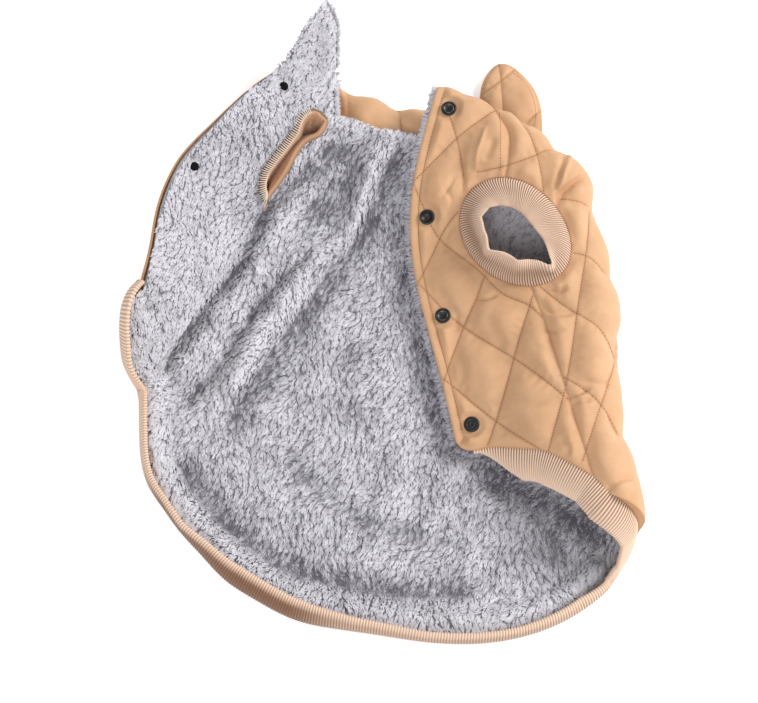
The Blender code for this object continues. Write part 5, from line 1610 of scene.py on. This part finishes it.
EAR_LINES = [[(100, 228), (102, 200), (103, 160)], [(118, 221), (105, 208), (82, 192)]]
EAR_LINES += [[(140, 186), (122, 168)]]


def pad_piece(name, outline, spacing, top, rim_height, foot_inset, node, finish):
    """A padded piece that rests flat: its top, a rounded side and a flat foot."""
    loop = np.asarray(outline, float)
    area = np.sum(loop[:, 0] * np.roll(loop[:, 1], -1) - np.roll(loop[:, 0], -1) * loop[:, 1])
    if area < 0:
        loop = loop[::-1]
    plan, faces = fill(loop, spacing)
    closed = np.vstack([loop, loop[:1]])
    height, painted_shade = top(plan, distance_to(plan, closed))
    rim = len(loop)
    height[:rim] = rim_height(loop)
    along = unit(np.roll(loop, -1, axis=0) - np.roll(loop, 1, axis=0))
    inward = np.column_stack([-along[:, 1], along[:, 0]])
    points = [np.column_stack([plan, height])]
    for share in (0.35, 0.75, 1.0):
        spread_in = foot_inset * share**2
        points.append(np.column_stack([loop + inward * spread_in, height[:rim] * (1 - share)]))
    top_count = len(plan)
    rings = [np.arange(rim)] + [top_count + k * rim + np.arange(rim) for k in range(3)]
    quads = []
    for high, low in zip(rings[:-1], rings[1:]):
        quads.append(np.stack([high, low, np.roll(low, -1), np.roll(high, -1)], -1))
    foot = rings[-1][::-1][None, :]
    painted_shade = np.concatenate([painted_shade, np.zeros(3 * rim)])
    made = make_piece(name, np.vstack(points), [faces, np.vstack(quads), foot], finish, {"painted_shade": painted_shade})
    return settle(made, [node])


def hood_top(plan, from_rim):
    quilt, painted_shade = quilt_height(plan, [HOOD_NOTCHES], 3.4, 7.0)
    cap = 10 + 13 * np.sqrt(np.maximum(1 - (1 - np.clip(from_rim / 14, 0, 1)) ** 2, 0))
    neck = np.interp(plan[:, 0], [p[0] for p in BACK_NECK], [p[1] for p in BACK_NECK])
    behind = ramp((plan[:, 1] - neck) / 8)
    gathers = 0.5 * np.sin(plan[:, 0] / 2.9 + 2 * np.sin(plan[:, 0] / 13)) * bell((plan[:, 1] - neck - 2) / 6)
    ceiling = under(plan[:, 0], plan[:, 1]) - 1.2
    height = cap - 4 * behind + behind * (quilt + 0.7 * ripple(plan, 22, 31)) + gathers
    return np.minimum(height, np.where(behind > 0.9, 40.0, ceiling)), painted_shade


def ear_top(plan, from_rim):
    quilt, painted_shade = quilt_height(plan, [EAR_LINES], 2.6, 6.5)
    cap = 4.6 + 6.2 * np.sqrt(np.maximum(1 - (1 - np.clip(from_rim / 15, 0, 1)) ** 2, 0))
    seam = bell((from_rim - 2.2) / GROOVE)
    height = cap + (quilt - 1.6) * np.clip(from_rim / 6, 0, 1) - 0.7 * seam + 0.25 * ripple(plan, 14, 33)
    # The edge seam is painted darker, as shade in its groove.
    return height, np.maximum(painted_shade, 0.7 * seam)


def hood_rim(loop):
    return np.minimum(11, under(loop[:, 0], loop[:, 1]) - 2.2)


hood_loop = np.vstack([trace(HOOD_FRONT, 1.6)[:-1], trace(HOOD_BACK, 1.6)[:-1]])
hood = pad_piece("hood_folded", hood_loop, 2.0, hood_top, hood_rim, 5.0, "hood", MICROFIBRE)
ear_loop = trace(EAR_OUTLINE + EAR_OUTLINE[:1], 1.5)[:-1]
ear = pad_piece("ear_quilted", ear_loop, 1.4, ear_top, lambda loop: np.full(len(loop), 4.6), 3.0, "ear_right",
                MICROFIBRE)

# %% Stitches of the hood and the ear
paths = []
INNER_SEAM = [(126, 160), (129, 176), (127, 190), (121, 203), (112, 213)]
for piece, lines, level in ((ear, EAR_LINES + [INNER_SEAM], 13.0), (hood, HOOD_NOTCHES, 30.0)):
    tree = surface_tree(piece)
    for line in lines:
        paths += stitches_along(line, lambda x, y: np.full(np.shape(x), level), tree)
thread_piece("stitching_hood", paths, 0.2, THREAD)

# %% [markdown]
# The press studs are black nylon. A cap on the right front is a socket with a raised rim, a hollow and a
# bump in it, and two of them have a bright ring. On the left front the inside half is sunk in the pile, and
# the post that the socket would press on stands on the outside.

# %% Studs
def turned_piece(name, profile, spot, axis, finish, nodes, sides=40, ring_only=False):
    """A turned piece from (radius, height) rows in millimetres, standing on a spot along an axis."""
    angle = np.linspace(0, 2 * math.pi, sides, endpoint=False)
    across = unit(np.cross(axis, (0.31, 0.95, 0.05)))
    over_it = np.cross(axis, across)
    points = [spot + axis * profile[0][1]]
    for radius, height in profile:
        ring = across * np.cos(angle)[:, None] + over_it * np.sin(angle)[:, None]
        points.append(spot + ring * radius + axis * height)
    points.append(spot + axis * profile[-1][1])
    points = np.vstack(points)
    rows = 1 + np.arange(len(profile) * sides).reshape(len(profile), sides)
    faces = [ring_quads(rows)]
    if not ring_only:
        faces.append(np.stack([np.zeros(sides, int), np.roll(rows[0], -1), rows[0]], -1))
        faces.append(np.stack([np.full(sides, len(points) - 1), rows[-1], np.roll(rows[-1], -1)], -1))
    return settle(make_piece(name, points, faces, finish), nodes)


def round_over(rows, steps=3):
    """The profile with each corner cut back in small steps, so that it catches a highlight."""
    rows = np.array(rows, float)
    made = [rows[0]]
    for before, corner, after in zip(rows[:-2], rows[1:-1], rows[2:]):
        size = min(0.22, np.linalg.norm(corner - before) / 2.2, np.linalg.norm(after - corner) / 2.2)
        first = corner + unit(before - corner) * size
        last = corner + unit(after - corner) * size
        for t in np.linspace(0, 1, steps):
            made.append((1 - t) ** 2 * first + 2 * t * (1 - t) * corner + t**2 * last)
    return made + [rows[-1]]


STUD_SEAT = 0.7
CAP_PROFILE = round_over([(5.2, -0.5), (5.9, 0.1), (6.0, 0.9), (5.5, 1.6), (4.7, 1.75), (4.15, 1.2),
                          (3.9, 0.5), (2.6, -0.3), (1.6, -0.7), (0.05, -0.8)])
PLAIN_PROFILE = round_over([(5.2, -0.5), (5.9, 0.1), (6.0, 0.9), (5.4, 1.55), (3.6, 1.65), (3.3, 1.35),
                            (2.9, 1.3), (2.6, 1.6), (1.5, 1.65), (1.2, 1.35), (0.05, 1.3)])
RING_PROFILE = round_over([(3.95, 0.75), (3.9, 1.25), (3.6, 1.4), (3.3, 1.2), (3.2, 0.75), (3.5, 0.5),
                           (3.94, 0.73)])
BACK_PROFILE = round_over([(3.2, -0.4), (3.6, 0.3), (3.3, 1.0), (1.6, 1.35), (0.05, 1.3)])
POST_PROFILE = round_over([(5.3, -0.4), (5.4, 0.6), (4.9, 1.1), (2.8, 1.25), (2.6, 1.6), (2.9, 2.9),
                           (2.4, 3.5), (1.3, 3.6), (0.05, 3.5)])


def normal_at(place):
    """The base surface's normal, on the lining's side, at its point nearest to a place."""
    return shell_base.normals[int(np.argmin(np.linalg.norm(shell_base.points - place, axis=1)))]


for number, spot in enumerate(CAPS, 1):
    axis = -normal_at(np.array(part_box(f"stud_cap_{number}")).mean(axis=0) / MM + CENTRE)
    place = np.array((*spot, float(over(*spot)))) + axis * STUD_SEAT
    profile = PLAIN_PROFILE if number == 4 else CAP_PROFILE
    turned_piece(f"press_stud_{number}", profile, place, axis, NYLON, [f"stud_cap_{number}"])
    if number in (1, 3):
        turned_piece(f"press_ring_{number}", RING_PROFILE, place, axis, STEEL, [f"stud_ring_{number}"],
                     ring_only=True)
for number, spot in enumerate(BACKS, 1):
    at = np.array((*spot, float(under(*spot))))
    axis = normal_at(at)
    depth = SHELL_WALL + LAYER_GAP + LINING_WALL - (3.0 if number in (2, 3) else 5.2)
    turned_piece(f"press_back_{number}", BACK_PROFILE, at + axis * depth, axis, MATT_NYLON,
                 [f"stud_back_{number}"], 28)
    turned_piece(f"press_post_{number}", POST_PROFILE, at - axis * STUD_SEAT, -axis, NYLON,
                 [f"stud_post_{number}"], 28)
